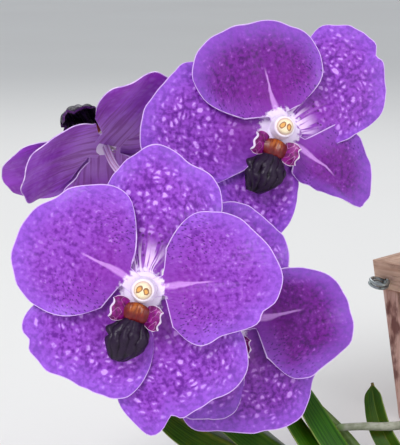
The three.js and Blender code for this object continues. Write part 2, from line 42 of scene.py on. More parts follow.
# Camera: the photograph looks down at the blooms by 12 degrees from about half a metre, with a long lens.
look_down = 12
picture_width = 400
focal_in_pixels = 1286.5
sensor_width = 36
bpy.ops.object.camera_add(location=(-0.190, -0.712, 0.268), rotation=(math.radians(90 - look_down), 0, 0))
camera = bpy.context.object
camera.data.sensor_fit = "HORIZONTAL"
camera.data.sensor_width = sensor_width
camera.data.lens = focal_in_pixels / picture_width * sensor_width
camera.data.clip_start = 0.01
bpy.context.scene.camera = camera
bpy.context.scene.view_settings.view_transform = "Standard"


# Studio: a pale floor without an edge in view, a large soft light from the upper left in front, weaker ones
# from the right and from behind, and an even pale world.
def node(tree, kind, inputs=None, **settings):
    """A shader node with its settings made and its inputs set or linked."""
    made = tree.nodes.new("ShaderNode" + kind)
    for name, value in settings.items():
        setattr(made, name, value)
    for name, value in (inputs or {}).items():
        if isinstance(value, bpy.types.NodeSocket):
            tree.links.new(value, made.inputs[name])
        else:
            made.inputs[name].default_value = value
    return made


def colour(red, green, blue):
    """A colour given as on screen, from 0 to 255, in the linear values that shaders take."""
    def linear(value):
        share = value / 255
        return share / 12.92 if share <= 0.04045 else ((share + 0.055) / 1.055) ** 2.4
    return (linear(red), linear(green), linear(blue), 1)


def calc(tree, operation, first, second=0.0, third=0.0):
    return node(tree, "Math", {0: first, 1: second, 2: third}, operation=operation).outputs[0]


def rise(tree, value, low, high, low_out=0.0, high_out=1.0):
    """Goes smoothly from low_out to high_out while value goes from low to high."""
    inputs = {"Value": value, "From Min": low, "From Max": high, "To Min": low_out, "To Max": high_out}
    return node(tree, "MapRange", inputs, interpolation_type="SMOOTHSTEP").outputs[0]


def blend_colours(tree, share, low, high):
    return node(tree, "Mix", {0: share, 6: low, 7: high}, data_type="RGBA").outputs[2]


def noise_at(tree, place, scale, detail=3.0, distortion=0.0):
    inputs = {"Vector": place, "Scale": scale, "Detail": detail, "Distortion": distortion}
    return node(tree, "TexNoise", inputs).outputs[0]


def bump_at(tree, height, distance):
    return node(tree, "Bump", {"Height": height, "Distance": distance, "Strength": 1.0}).outputs[0]


def new_material(name, roughness=0.5, **sockets):
    """A material with its node tree and its shader, whose plain numbers are set on the shader itself."""
    material = bpy.data.materials.new(name)
    material.use_nodes = True
    tree = material.node_tree
    shader = tree.nodes["Principled BSDF"]
    shader.inputs["Roughness"].default_value = roughness
    for socket, value in sockets.items():
        shader.inputs[socket.replace("_", " ")].default_value = value
    return material, tree, shader


def feed(tree, shader, **sockets):
    """Links values that change over the surface to the shader's sockets."""
    for socket, value in sockets.items():
        tree.links.new(value, shader.inputs[socket.replace("_", " ")])


def object_place(tree):
    return node(tree, "TexCoord").outputs["Object"]


floor_material, tree, shader = new_material("studio_floor", 0.9)
cloudy = noise_at(tree, object_place(tree), 1.5)
feed(tree, shader, Base_Color=blend_colours(tree, cloudy, colour(232, 230, 227), colour(238, 237, 234)))
floor_size = 40
floor_below = 0.2 * MM
bpy.ops.mesh.primitive_plane_add(size=floor_size, location=(0, 0, -floor_below))
floor = bpy.context.object
floor.name = "studio_floor"
floor.data.materials.append(floor_material)


def soft_light(name, place, target, size, watts):
    bpy.ops.object.light_add(type="AREA", location=place)
    light = bpy.context.object
    light.name = name
    light.rotation_euler = (Vector(target) - Vector(place)).to_track_quat("-Z", "Y").to_euler()
    light.data.shape = "DISK"
    light.data.size = size
    light.data.energy = watts


bloom_middle = (-0.18, -0.15, 0.14)
soft_light("key_light", (-0.75, -1.25, 1.25), bloom_middle, 0.7, 17)
soft_light("fill_light", (0.75, -1.0, 0.55), bloom_middle, 0.9, 4)
soft_light("back_light", (-0.3, 1.1, 1.3), bloom_middle, 0.9, 6)

world = bpy.data.worlds.new("studio_world")
world.use_nodes = True
world.node_tree.nodes["Background"].inputs["Color"].default_value = (0.9, 0.94, 1, 1)
world.node_tree.nodes["Background"].inputs["Strength"].default_value = 0.6
bpy.context.scene.world = world


# Basket boards: pale weathered hardwood, sawn and nailed into a tapered square. The rim boards are mitred
# and lie on top of the posts, the panels sit back between them. Each board is its CAD solid with its sharp
# edges worn round.
def pick(piece):
    """Makes a piece the only selected and the active object."""
    bpy.ops.object.select_all(action="DESELECT")
    piece.select_set(True)
    bpy.context.view_layer.objects.active = piece


def add_modifier(piece, kind, **settings):
    """Adds a modifier and applies it at once."""
    modifier = piece.modifiers.new(kind.lower(), kind)
    for name, value in settings.items():
        setattr(modifier, name, value)
    pick(piece)
    bpy.ops.object.modifier_apply(modifier=modifier.name)


def join(pieces):
    """Joins pieces into the first of them."""
    pick(pieces[0])
    for piece in pieces[1:]:
        piece.select_set(True)
    bpy.ops.object.join()
    return pieces[0]


def copy_of_node(cad_node, name):
    """A piece with the shape of a CAD node, its corners merged and its flat faces made whole."""
    piece = bpy.data.objects.new(name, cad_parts[cad_node].data.copy())
    bpy.context.scene.collection.objects.link(piece)
    piece.data.materials.clear()
    pick(piece)
    bpy.ops.object.mode_set(mode="EDIT")
    bpy.ops.mesh.select_all(action="SELECT")
    bpy.ops.mesh.remove_doubles(threshold=0.01 * MM)
    bpy.ops.mesh.dissolve_limited(angle_limit=math.radians(1))
    bpy.ops.object.mode_set(mode="OBJECT")
    return piece


def stands_for(piece, cad_node, material=None, smooth_angle=40):
    """Gives a finished piece its material, and makes it stand for a CAD node."""
    if material:
        piece.data.materials.append(material)
    pick(piece)
    bpy.ops.object.shade_smooth_by_angle(angle=math.radians(smooth_angle))
    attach(piece, "root")
    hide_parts(cad_node)


def new_group(name, inputs, outputs):
    """A shader node group with named sockets. It gives the tree, its input node and its output node."""
    group = bpy.data.node_groups.new(name, "ShaderNodeTree")
    for socket, kind in inputs:
        group.interface.new_socket(socket, in_out="INPUT", socket_type="NodeSocket" + kind)
    for socket, kind in outputs:
        group.interface.new_socket(socket, in_out="OUTPUT", socket_type="NodeSocket" + kind)
    return group, group.nodes.new("NodeGroupInput").outputs, group.nodes.new("NodeGroupOutput").inputs


def stretched(tree, place, scale):
    """A place with its own scale along each axis."""
    return node(tree, "Mapping", {"Vector": place, "Scale": scale}).outputs[0]


def weathered_wood_group():
    """Grain along X, with dark pores, uneven bleaching and stains that soak in along the grain."""
    group, given, result = new_group(
        "weathered_wood",
        [("Place", "Vector"), ("Pale", "Color"), ("Dark", "Color"), ("Stain", "Color"),
         ("Stain Share", "Float")],
        [("Colour", "Color"), ("Roughness", "Float"), ("Height", "Float")])
    grain = noise_at(group, stretched(group, given["Place"], (25, 420, 420)), 1.0, 6.0, 0.6)
    broad = noise_at(group, stretched(group, given["Place"], (14, 70, 70)), 1.0)
    fine = noise_at(group, stretched(group, given["Place"], (90, 1600, 1600)), 1.0)
    pores = rise(group, fine, 0.58, 0.7)
    body = blend_colours(group, rise(group, grain, 0.3, 0.72), given["Pale"], given["Dark"])
    uneven = blend_colours(group, rise(group, broad, 0.35, 0.75, 0.0, 0.45), body, given["Dark"])
    pored = blend_colours(group, calc(group, "MULTIPLY", pores, 0.35), uneven, given["Stain"])
    blot = noise_at(group, stretched(group, given["Place"], (60, 130, 130)), 1.0, 5.0)
    soaked = calc(group, "MULTIPLY", rise(group, blot, 0.5, 0.64), given["Stain Share"])
    group.links.new(blend_colours(group, soaked, pored, given["Stain"]), result["Colour"])
    group.links.new(rise(group, grain, 0.3, 0.7, 0.72, 0.9), result["Roughness"])
    sunk_pores = calc(group, "MULTIPLY", pores, 0.4)
    relief = calc(group, "SUBTRACT", calc(group, "MULTIPLY", grain, 0.6), sunk_pores)
    group.links.new(relief, result["Height"])
    return group


weathered_wood = weathered_wood_group()


def wood_material(name, turn, tones):
    """Weathered wood whose grain runs along X once the place is turned by so many degrees."""
    material, tree, shader = new_material(name, 0.8)
    turned = node(tree, "Mapping", {"Vector": object_place(tree),
                                    "Rotation": [math.radians(angle) for angle in turn]}).outputs[0]
    pale, dark, stain, stain_share = tones
    wood = node(tree, "Group", node_tree=weathered_wood)
    tree.links.new(turned, wood.inputs["Place"])
    for socket, value in (("Pale", pale), ("Dark", dark), ("Stain", stain), ("Stain Share", stain_share)):
        wood.inputs[socket].default_value = value
    feed(tree, shader, Base_Color=wood.outputs["Colour"], Roughness=wood.outputs["Roughness"],
         Normal=bump_at(tree, wood.outputs["Height"], 0.35 * MM))
    return material


# Pale wood, dark grain, stain, and the share of a stain that soaks in.
rim_tones = (colour(228, 194, 170), colour(198, 156, 132), colour(130, 84, 72), 0.35)
post_tones = (colour(224, 188, 174), colour(184, 138, 124), colour(100, 50, 46), 0.85)
# The panel tones are darker, partly with painted shade for the panels set back between the posts; the base
# board takes them too.
shaded_panel_tones = (colour(138, 108, 92), colour(102, 76, 64), colour(66, 44, 38), 0.5)
edge_wear = 0.7 * MM


def worn_board(cad_node, name, material, wear, segments):
    board = copy_of_node(cad_node, name)
    add_modifier(board, "BEVEL", width=wear, segments=segments, limit_method="ANGLE")
    stands_for(board, cad_node, material)


for number in range(1, 5):
    turn = (0, 0, -45 if number % 2 else 45)
    worn_board(f"rim_board_{number}", f"rim_board_worn_{number}",
               wood_material(f"rim_wood_{number}", turn, rim_tones), edge_wear, 3)
    worn_board(f"side_panel_{number}", f"side_panel_worn_{number}",
               wood_material(f"shaded_panel_wood_{number}", turn, shaded_panel_tones), edge_wear / 2, 2)
    worn_board(f"corner_post_{number}", f"corner_post_worn_{number}",
               wood_material(f"post_wood_{number}", (0, 90, 0), post_tones), edge_wear, 3)
worn_board("base_board", "base_board_worn",
           wood_material("shaded_base_wood", (0, 0, 45), shaded_panel_tones), edge_wear / 2, 2)


# Screw eyes: galvanised wire bent into two turns on a threaded shank, one screwed into each rim board near
# a corner. The ring is a wire section turned round the eye's middle as a coil.
eye_radius = 5 * MM
eye_wire = 0.9 * MM
eye_height = 84 * MM
eye_turns = 700
eye_coil_gap = 0.3 * MM
eye_from_corner = 8 * MM
eye_stand_off = 0.6 * MM
eye_tilt = 18
basket_height = 95 * MM
basket_top_half = 65 * MM
basket_foot_half = 55 * MM
shank_radius = 1.1 * MM
shank_length = 6 * MM
shank_bevel = 0.25 * MM


def half_side(height):
    return basket_foot_half + (basket_top_half - basket_foot_half) * height / basket_height


def turn_faces_out(piece):
    pick(piece)
    bpy.ops.object.mode_set(mode="EDIT")
    bpy.ops.mesh.select_all(action="SELECT")
    bpy.ops.mesh.normals_make_consistent(inside=False)
    bpy.ops.object.mode_set(mode="OBJECT")


def steel_material():
    """Dull zinc with fine spangle and a few darker, duller stains."""
    material, tree, shader = new_material("galvanised_wire", 0.4, Metallic=0.9)
    place = object_place(tree)
    spangle = node(tree, "TexVoronoi", {"Vector": place, "Scale": 900.0}).outputs["Color"]
    tone = node(tree, "SeparateColor", {0: spangle}).outputs[0]
    dull = noise_at(tree, place, 260.0, 4.0)
    zinc = blend_colours(tree, calc(tree, "MULTIPLY", tone, 0.5), colour(176, 184, 184),
                         colour(132, 142, 144))
    stained = blend_colours(tree, rise(tree, dull, 0.5, 0.72), zinc, colour(78, 80, 76))
    feed(tree, shader, Base_Color=stained, Roughness=rise(tree, dull, 0.3, 0.7, 0.3, 0.62),
         Normal=bump_at(tree, dull, 0.05 * MM))
    return material


steel = steel_material()
eye_face = half_side(eye_height)
eye_across = -(eye_face - eye_from_corner)
coil_height = (2 * eye_wire + eye_coil_gap) * eye_turns / 360
ring_out = eye_face + eye_stand_off + eye_wire + eye_radius
shank_out = eye_face - shank_length / 2 + (eye_stand_off + eye_wire) / 2

for number in range(1, 5):
    bpy.ops.object.select_all(action="DESELECT")
    bpy.ops.mesh.primitive_circle_add(vertices=14, radius=eye_wire, fill_type="NGON",
                                      location=(0, eye_radius, 0), rotation=(0, math.radians(90), 0))
    ring = bpy.context.object
    bpy.ops.object.transform_apply(location=True, rotation=True, scale=True)
    add_modifier(ring, "SCREW", angle=math.radians(eye_turns), axis="Z", steps=90, render_steps=90,
                 screw_offset=coil_height)
    ring.data.transform(Matrix.Translation((0, 0, -coil_height / 2)))
    ring.data.transform(Matrix.Rotation(math.radians(eye_tilt), 4, "Y"))
    ring.data.transform(Matrix.Translation((eye_across, -ring_out, eye_height)))
    bpy.ops.mesh.primitive_cylinder_add(vertices=20, radius=shank_radius,
                                        depth=shank_length + eye_stand_off + eye_wire)
    shank = bpy.context.object
    shank.data.transform(Matrix.Rotation(math.radians(90), 4, "X"))
    shank.data.transform(Matrix.Translation((eye_across, -shank_out, eye_height)))
    add_modifier(shank, "BEVEL", width=shank_bevel, segments=2, limit_method="ANGLE")
    join([ring, shank])
    ring.name = f"screw_eye_ring_{number}"
    ring.data.transform(Matrix.Rotation(math.radians(45 + 90 * (number - 1)), 4, "Z"))
    turn_faces_out(ring)
    stands_for(ring, f"screw_eye_{number}", steel)


# Bark: coarse chips of fir bark packed into the basket, with loose chips on top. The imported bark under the
# top is one rough body, and the loose chips are broken flakes with rounded corners.
bark_top = 74 * MM
chip_count = 90
chip_size = 15 * MM
chip_wear = 0.5 * MM
chips_from_wall = 10 * MM


def bark_material():
    material, tree, shader = new_material("fir_bark", 0.9)
    place = object_place(tree)
    flakes = noise_at(tree, stretched(tree, place, (1, 1, 3.5)), 110.0, 8.0, 0.8)
    broad = noise_at(tree, place, 45.0, 2.0)
    brown = blend_colours(tree, rise(tree, flakes, 0.35, 0.65), colour(58, 38, 26), colour(112, 80, 58))
    aged = blend_colours(tree, rise(tree, broad, 0.5, 0.7, 0.0, 0.7), brown, colour(128, 108, 88))
    feed(tree, shader, Base_Color=aged, Roughness=rise(tree, flakes, 0.3, 0.7, 0.75, 0.98),
         Normal=bump_at(tree, flakes, 1.2 * MM))
    return material


roughness_seed = 1


def roughen(piece, size, amount, seed):
    """Moves each vertex of a piece along a smooth random field, which is the same on every run."""
    noise.seed_set(roughness_seed)
    shift = Vector((seed * 3.1, seed * 1.7, seed * 2.3))
    for vertex in piece.data.vertices:
        vertex.co += amount * noise.noise_vector(vertex.co / size + shift)


bark = copy_of_node("bark", "bark_chips")
chips = [bark]
draw = random.Random(11)
for number in range(chip_count):
    size = chip_size * draw.uniform(0.55, 1.25)
    reach = half_side(bark_top) - chips_from_wall - size / 2
    place = Vector((draw.uniform(-reach, reach), draw.uniform(-reach, reach),
                    bark_top + draw.uniform(-2, 4) * MM))
    place.rotate(Euler((0, 0, math.radians(45))))
    bpy.ops.mesh.primitive_cube_add(size=1)
    chip = bpy.context.object
    chip.scale = (size, size * draw.uniform(0.5, 0.8), size * draw.uniform(0.22, 0.4))
    chip.rotation_euler = (draw.uniform(-0.5, 0.5), draw.uniform(-0.5, 0.5), draw.uniform(0, 2 * math.pi))
    chip.location = place
    bpy.ops.object.transform_apply(location=True, rotation=True, scale=True)
    add_modifier(chip, "SUBSURF", subdivision_type="SIMPLE", levels=2, render_levels=2)
    roughen(chip, size * 0.4, size * 0.13, number)
    add_modifier(chip, "BEVEL", width=chip_wear, segments=1, limit_method="ANGLE")
    chips.append(chip)
join(chips)
stands_for(bark, "bark", bark_material(), 50)


# Stem: a thick woody monopodial stem. It stands in the bark, leans out over the near-left rim, rests on the
# surface and turns up into the crown. Dry brown leaf bases ring it, and its young end is green.
def smooth_route(route, steps):
    """Evenly spaced points on the centripetal curve through a route's points."""
    corners = [Vector(point) * MM for point in route]
    corners = [2 * corners[0] - corners[1]] + corners + [2 * corners[-1] - corners[-2]]
    dense = []
    per_piece = 40
    for a, b, c, d in zip(corners, corners[1:], corners[2:], corners[3:]):
        before, between, after = [math.sqrt((q - p).length) for p, q in ((a, b), (b, c), (c, d))]
        start = ((b - a) / before - (c - a) / (before + between) + (c - b) / between) * between
        end = ((c - b) / between - (d - b) / (between + after) + (d - c) / after) * between
        for k in range(per_piece):
            t = k / per_piece
            dense.append(b + start * t + (3 * (c - b) - 2 * start - end) * t * t
                         + (2 * (b - c) + start + end) * t * t * t)
    dense.append(corners[-2])
    lengths = [0.0]
    for p, q in zip(dense, dense[1:]):
        lengths.append(lengths[-1] + (q - p).length)
    places = []
    at = 0
    for k in range(steps + 1):
        target = lengths[-1] * k / steps
        while at < len(lengths) - 2 and lengths[at + 1] < target:
            at += 1
        share = (target - lengths[at]) / (lengths[at + 1] - lengths[at])
        places.append(dense[at].lerp(dense[at + 1], min(max(share, 0), 1)))
    return places


def mark(piece, name, values):
    """Keeps a number at each vertex of a piece, for its material."""
    kept = piece.data.attributes.new(name, "FLOAT", "POINT")
    kept.data.foreach_set("value", values)


def cord_piece(name, places, radius_at, sides, lobe_at=None):
    """A closed round cord along places, made as a bevelled curve and turned into a mesh.
    radius_at gives the radius at a share of the length, and lobe_at a factor for it round the cord."""
    bpy.ops.curve.primitive_nurbs_path_add()
    cord = bpy.context.object
    cord.name = name
    data = cord.data
    data.splines.clear()
    spline = data.splines.new("POLY")
    spline.points.add(len(places) - 1)
    last = len(places) - 1
    for k, (point, place) in enumerate(zip(spline.points, places)):
        point.co = (*place, 1)
        point.radius = radius_at(k / last)
    data.bevel_depth = 1
    data.bevel_resolution = (sides - 4) // 2
    data.use_fill_caps = True
    data.twist_mode = "MINIMUM"
    pick(cord)
    bpy.ops.object.convert(target="MESH")
    cord = bpy.context.object
    count = len(cord.data.vertices)
    per_ring = count // len(places)
    ring_of = [min(k // per_ring, last) for k in range(count)]
    turns = [(k % per_ring) / per_ring for k in range(count)]
    mark(cord, "along", [ring / last for ring in ring_of])
    mark(cord, "around", turns)
    if lobe_at:
        for vertex, ring, turn in zip(cord.data.vertices, ring_of, turns):
            vertex.co = places[ring] + (vertex.co - places[ring]) * lobe_at(ring / last, turn)
    pick(cord)
    bpy.ops.object.mode_set(mode="EDIT")
    bpy.ops.mesh.select_all(action="SELECT")
    bpy.ops.mesh.remove_doubles(threshold=0.001 * MM)
    bpy.ops.mesh.normals_make_consistent(inside=False)
    bpy.ops.object.mode_set(mode="OBJECT")
    return cord


def attribute(tree, name):
    return node(tree, "Attribute", attribute_name=name).outputs["Fac"]


def flat_place(tree, first, first_scale, second, second_scale):
    """A flat place for a texture, from two values with a scale for each."""
    return node(tree, "CombineXYZ", {0: calc(tree, "MULTIPLY", first, first_scale),
                                     1: calc(tree, "MULTIPLY", second, second_scale)}).outputs[0]


stem_route = [(14, 12, 34), (6, 2, 78), (-14, -20, 111), (-42, -56, 121), (-66, -92, 104), (-80, -122, 66),
              (-86, -142, 28), (-92, -152, 4.5), (-100, -158.5, 5), (-108, -161, 22), (-114, -162, 42)]
stem_radius = 7 * MM
stem_rings = 26
stem_steps = 240


def stem_radius_at(t):
    taper = 1 - 4.5 * max(t - 0.9, 0)
    ring = (t * stem_rings) % 1
    return stem_radius * taper * (0.9 + 0.12 * ring ** 2)


def stem_material():
    material, tree, shader = new_material("woody_stem", 0.7)
    place = object_place(tree)
    along = attribute(tree, "along")
    ring = calc(tree, "FRACT", calc(tree, "MULTIPLY", along, float(stem_rings)))
    streaks = noise_at(tree, flat_place(tree, along, 60.0, attribute(tree, "around"), 46.0), 1.0, 4.0)
    patches = noise_at(tree, place, 90.0, 4.0)
    woody = blend_colours(tree, streaks, colour(82, 74, 48), colour(136, 128, 92))
    dry = blend_colours(tree, rise(tree, patches, 0.42, 0.62), woody, colour(146, 122, 92))
    young = blend_colours(tree, rise(tree, along, 0.82, 0.97), dry, colour(92, 124, 52))
    scarred = blend_colours(tree, rise(tree, ring, 0.86, 1.0, 0.0, 0.8), young, colour(62, 44, 30))
    relief = calc(tree, "ADD", streaks, calc(tree, "MULTIPLY", patches, 0.7))
    feed(tree, shader, Base_Color=scarred, Normal=bump_at(tree, relief, 0.5 * MM))
    return material


def rest_on_surface(piece):
    """Flattens what would reach below the surface that the part stands on."""
    for vertex in piece.data.vertices:
        vertex.co.z = max(vertex.co.z, 0)


stem = cord_piece("woody_stem", smooth_route(stem_route, stem_steps), stem_radius_at, 24)
rest_on_surface(stem)
roughen(stem, 9 * MM, 0.5 * MM, 3)
rest_on_surface(stem)
stands_for(stem, "stem", stem_material())


# Aerial roots: long grey-white roots covered in a spongy skin, with green tips. One crosses in front of the
# basket, two grow into the bark, one hangs at the side and one runs near the surface.
root_radius = 2.3 * MM
root_routes = {
    "aerial_root_long": [(-82, -124, 44), (-90, -125, 43.5), (-100, -126, 43), (-113, -126, 43),
                         (-125, -126.5, 42.5)],
    "aerial_root_bark": [(-30, -38, 118), (-26, -30, 108), (-22, -24, 96), (-20, -20, 84), (-20, -18, 66)],
    "aerial_root_rim": [(-12, -16, 108), (4, -22, 106), (14, -26, 96), (18, -26, 84), (20, -26, 66)],
    "aerial_root_side": [(-58, -80, 110), (-46, -96, 100), (-40, -106, 72), (-44, -112, 40),
                         (-48, -122, 14)],
    "aerial_root_low": [(-80, -138, 34), (-68, -134, 22), (-58, -136, 10), (-48, -140, 3),
                        (-30, -146, 2.2)],
}


def root_material():
    material, tree, shader = new_material("root_skin", 0.75)
    place = object_place(tree)
    along = attribute(tree, "along")
    mottle = noise_at(tree, place, 300.0, 5.0)
    streaks = noise_at(tree, flat_place(tree, along, 12.0, attribute(tree, "around"), 14.0), 1.0, 3.0)
    skin = blend_colours(tree, rise(tree, mottle, 0.35, 0.65), colour(168, 168, 152), colour(140, 143, 122))
    streaked = blend_colours(tree, rise(tree, streaks, 0.5, 0.68, 0.0, 0.6), skin, colour(116, 122, 92))
    tipped = blend_colours(tree, rise(tree, along, 0.9, 0.99), streaked, colour(112, 138, 78))
    feed(tree, shader, Base_Color=tipped, Normal=bump_at(tree, mottle, 0.25 * MM))
    return material


root_steps = 70
root_skin = root_material()
for seed, (name, route) in enumerate(root_routes.items()):
    def root_radius_at(t):
        tip = math.sqrt(max(1 - max(t - 0.94, 0) / 0.06, 0.02))
        return root_radius * (1 - 0.25 * t) * tip * (1 + 0.07 * noise.noise(Vector((t * 9, seed * 5.3, 0))))

    root = cord_piece(name + "_skin", smooth_route(route, root_steps), root_radius_at, 20)
    stands_for(root, name, root_skin)


# Leaves: thick strap leaves in two ranks, folded along the midrib where they clasp the stem and opening
# towards the tip, with a pale keel, fine parallel veins and thin pale edges.
leaf_thickness = 1.5 * MM
leaf_widths = [0.55, 0.85, 1, 1, 0.98, 0.92, 0.82, 0.66]
leaf_tip_width = 0.3
small_leaf_tip_width = 0.04
tip_teeth = 5 * MM
leaf_rows = 70
leaf_columns = 24

# Each leaf's route from the stem to its tip, its width, and its roll and its fold in degrees at either end.
leaves = {
    "leaf_left_low": ([(-96, -158, 12), (-118, -166, 22), (-150, -172, 26), (-186, -178, 16),
                       (-212, -182, 4)], 30, (0, 0), (45, 12)),
    "leaf_outer": ([(-102, -158, 10), (-120, -154, 17), (-146, -149, 28), (-172, -143, 39),
                    (-198, -136, 50), (-214, -130, 59)], 30, (-25, -30), (48, 20)),
    "leaf_second": ([(-104, -158, 16), (-120, -152, 24), (-140, -147, 33), (-159, -141, 44),
                     (-178, -134, 55), (-193, -127, 62)], 26, (-20, -35), (50, 25)),
    "leaf_third": ([(-106, -158, 21), (-120, -151, 30), (-134, -145, 43), (-145, -137, 56),
                    (-154, -128, 70)], 26, (5, 0), (52, 30)),
    "leaf_top": ([(-107, -158, 26), (-116, -151, 36), (-127, -145, 51), (-136, -138, 63), (-144, -130, 74)],
                 26, (-10, -12), (52, 30)),
    "leaf_small": ([(-88, -128, 26), (-96, -124, 32), (-101, -118, 40), (-104, -113, 50), (-105, -109, 59)],
                   13, (70, 60), (30, 18)),
    "leaf_right_low": ([(-82, -140, 22), (-58, -156, 36), (-24, -168, 36), (16, -176, 18), (44, -182, 3)],
                       30, (180, 180), (45, 12)),
    "leaf_right_mid": ([(-80, -134, 42), (-60, -146, 58), (-28, -154, 66), (12, -160, 56), (44, -164, 34)],
                       28, (180, 180), (48, 14)),
}


def smooth_value(values, place):
    """A value read by a smooth curve through an even list of values, at a place from 0 to 1."""
    at = place * (len(values) - 1)
    i = min(int(at), len(values) - 2)
    t = at - i
    a, b, c, d = values[max(i - 1, 0)], values[i], values[i + 1], values[min(i + 2, len(values) - 1)]
    return 0.5 * (2 * b + (c - a) * t + (2 * a - 5 * b + 4 * c - d) * t * t
                  + (3 * b - a - 3 * c + d) * t ** 3)


def grid_sheet(name, rows, columns, place_at, marks):
    """A grid whose vertices are moved to place_at(s, t), s from 0 to 1 along it and t from -1 to 1 across.
    marks are functions of (s, t) that are kept as attributes for the material."""
    bpy.ops.object.select_all(action="DESELECT")
    bpy.ops.mesh.primitive_grid_add(x_subdivisions=columns, y_subdivisions=rows, size=2)
    sheet = bpy.context.object
    sheet.name = name
    shares = [((vertex.co.y + 1) / 2, vertex.co.x) for vertex in sheet.data.vertices]
    for vertex, (s, t) in zip(sheet.data.vertices, shares):
        vertex.co = place_at(s, t)
    for attribute_name, value_at in marks.items():
        mark(sheet, attribute_name, [value_at(s, t) for s, t in shares])
    return sheet


def leaf_material():
    material, tree, shader = new_material("leaf_skin", 0.34, Specular_IOR_Level=0.17,
                                          Subsurface_Weight=0.05)
    place = object_place(tree)
    across = attribute(tree, "across")
    along = attribute(tree, "along")
    veins = noise_at(tree, flat_place(tree, across, 16.0, along, 1.6), 1.0, 5.0)
    clouds = noise_at(tree, place, 38.0, 3.0)
    keel = rise(tree, calc(tree, "ABSOLUTE", across), 0.03, 0.12, 1.0, 0.0)
    edge = rise(tree, calc(tree, "ABSOLUTE", across), 0.955, 0.995)
    green = blend_colours(tree, rise(tree, veins, 0.3, 0.7), colour(17, 56, 2), colour(44, 92, 8))
    clouded = blend_colours(tree, rise(tree, clouds, 0.42, 0.7, 0.0, 0.45), green, colour(68, 112, 20))
    keeled = blend_colours(tree, calc(tree, "MULTIPLY", keel, 0.6), clouded, colour(92, 130, 44))
    edged = blend_colours(tree, calc(tree, "MULTIPLY", edge, 0.7), keeled, colour(140, 158, 80))
    scorched = blend_colours(tree, rise(tree, along, 0.955, 0.985, 0.0, 0.8), edged, colour(122, 96, 52))
    feed(tree, shader, Base_Color=scorched, Roughness=rise(tree, clouds, 0.3, 0.7, 0.27, 0.42),
         Normal=bump_at(tree, veins, 0.22 * MM))
    return material


leaf_skin = leaf_material()
for seed, (name, (route, width, roll, fold)) in enumerate(leaves.items()):
    places = smooth_route(route, leaf_rows)
    tip_width = small_leaf_tip_width if name == "leaf_small" else leaf_tip_width
    widths = leaf_widths + [tip_width]

    def leaf_place(s, t):
        k = round(s * leaf_rows)
        centre = places[k]
        along = (places[min(k + 1, leaf_rows)] - places[max(k - 1, 0)]).normalized()
        side = Vector((0, 1, 0))
        side = (side - along * along.dot(side)).normalized()
        side.rotate(Matrix.Rotation(math.radians(roll[0] + (roll[1] - roll[0]) * s), 3, along))
        up = along.cross(side)
        half = width / 2 * MM * smooth_value(widths, s)
        tip_notch = tip_teeth * tip_width * math.cos(2.4 * math.pi * t + seed) if s == 1 else 0
        folded = math.radians(fold[0] + (fold[1] - fold[0]) * s)
        trough = math.sqrt(t * t + 0.006) - math.sqrt(0.006)
        ripple = 0.35 * MM * math.sin(9 * s + 2 * seed) * t * t
        ripple += 0.5 * MM * noise.noise(centre * 60 + Vector((t, 0, seed)))
        return (centre + side * half * t * math.cos(folded) + along * tip_notch
                + up * (half * trough * math.sin(folded) + leaf_thickness / 2 + ripple))

    leaf = grid_sheet(name + "_blade", leaf_rows, leaf_columns, leaf_place,
                      {"along": lambda s, t: s, "across": lambda s, t: t})
    thick = leaf.vertex_groups.new(name="thick")
    for vertex, across in zip(leaf.data.vertices, leaf.data.attributes["across"].data):
        thick.add([vertex.index], 1 - 0.75 * abs(across.value) ** 3, "REPLACE")
    add_modifier(leaf, "SOLIDIFY", thickness=leaf_thickness, offset=0, vertex_group="thick",
                 thickness_vertex_group=0.2)
    rest_on_surface(leaf)
    stands_for(leaf, name, leaf_skin, 60)


# Flower spike: a slim green stalk that leaves the stem behind the lowest leaves. It swells where each
# pedicel leaves it and turns purplish towards its end.
spike_route = [(-98, -157, 13), (-101, -146, 15), (-106, -134, 21), (-116, -121, 33), (-134, -118, 51),
               (-152, -119, 68), (-168, -117, 88), (-180, -112, 110), (-186, -106, 136), (-186, -102, 162),
               (-182, -98, 186)]
spike_radius = 2.6 * MM
spike_steps = 160
spike_places = smooth_route(spike_route, spike_steps)


def spike_material():
    material, tree, shader = new_material("spike_skin", 0.5)
    place = object_place(tree)
    mottle = noise_at(tree, place, 160.0, 4.0)
    green = blend_colours(tree, rise(tree, mottle, 0.35, 0.65), colour(78, 104, 44), colour(112, 134, 68))
    flushed = blend_colours(tree, rise(tree, attribute(tree, "along"), 0.5, 1.0, 0.0, 0.5), green,
                            colour(112, 84, 96))
    feed(tree, shader, Base_Color=flushed, Normal=bump_at(tree, mottle, 0.2 * MM))
    return material


def spike_radius_at(t):
    swelling = sum(math.exp(-((t - share) / 0.012) ** 2) for share in (0.66, 0.56, 0.85, 0.94))
    tip = math.sqrt(max(1 - max(t - 0.985, 0) / 0.015, 0.02))
    return spike_radius * (1 - 0.45 * t) * (1 + 0.3 * swelling) * tip


spike = cord_piece("flower_spike_stalk", spike_places, spike_radius_at, 20)
stands_for(spike, "flower_spike", spike_material())


# Tepals: three sepals behind and two petals in front, flat, broad and grown together at a bloom's hub. They
# are violet with a net of darker veins round lilac spots, dark specks near the claws and a thin pale rim.
# The backs are paler and veined. Each tepal is a grid laid out as a fan, which gets its thickness last.
tepal_thickness = 0.9 * MM
tepal_rows = 40
tepal_columns = 64
# Half of a claw's width, and how much it narrows.
claw_widths = {"petal": (4.2, 0), "sepal": (8, 0.5)}
hub_radius = 8.6 * MM
hub_half_depth = 2 * MM
claw_from = 0.2
claw_share = 0.08
blade_length = 50
edge_frill = 0.9
crease_depth = 0.9
crease_width = 1.8
unevenness = 1.3
uneven_size = 12 * MM

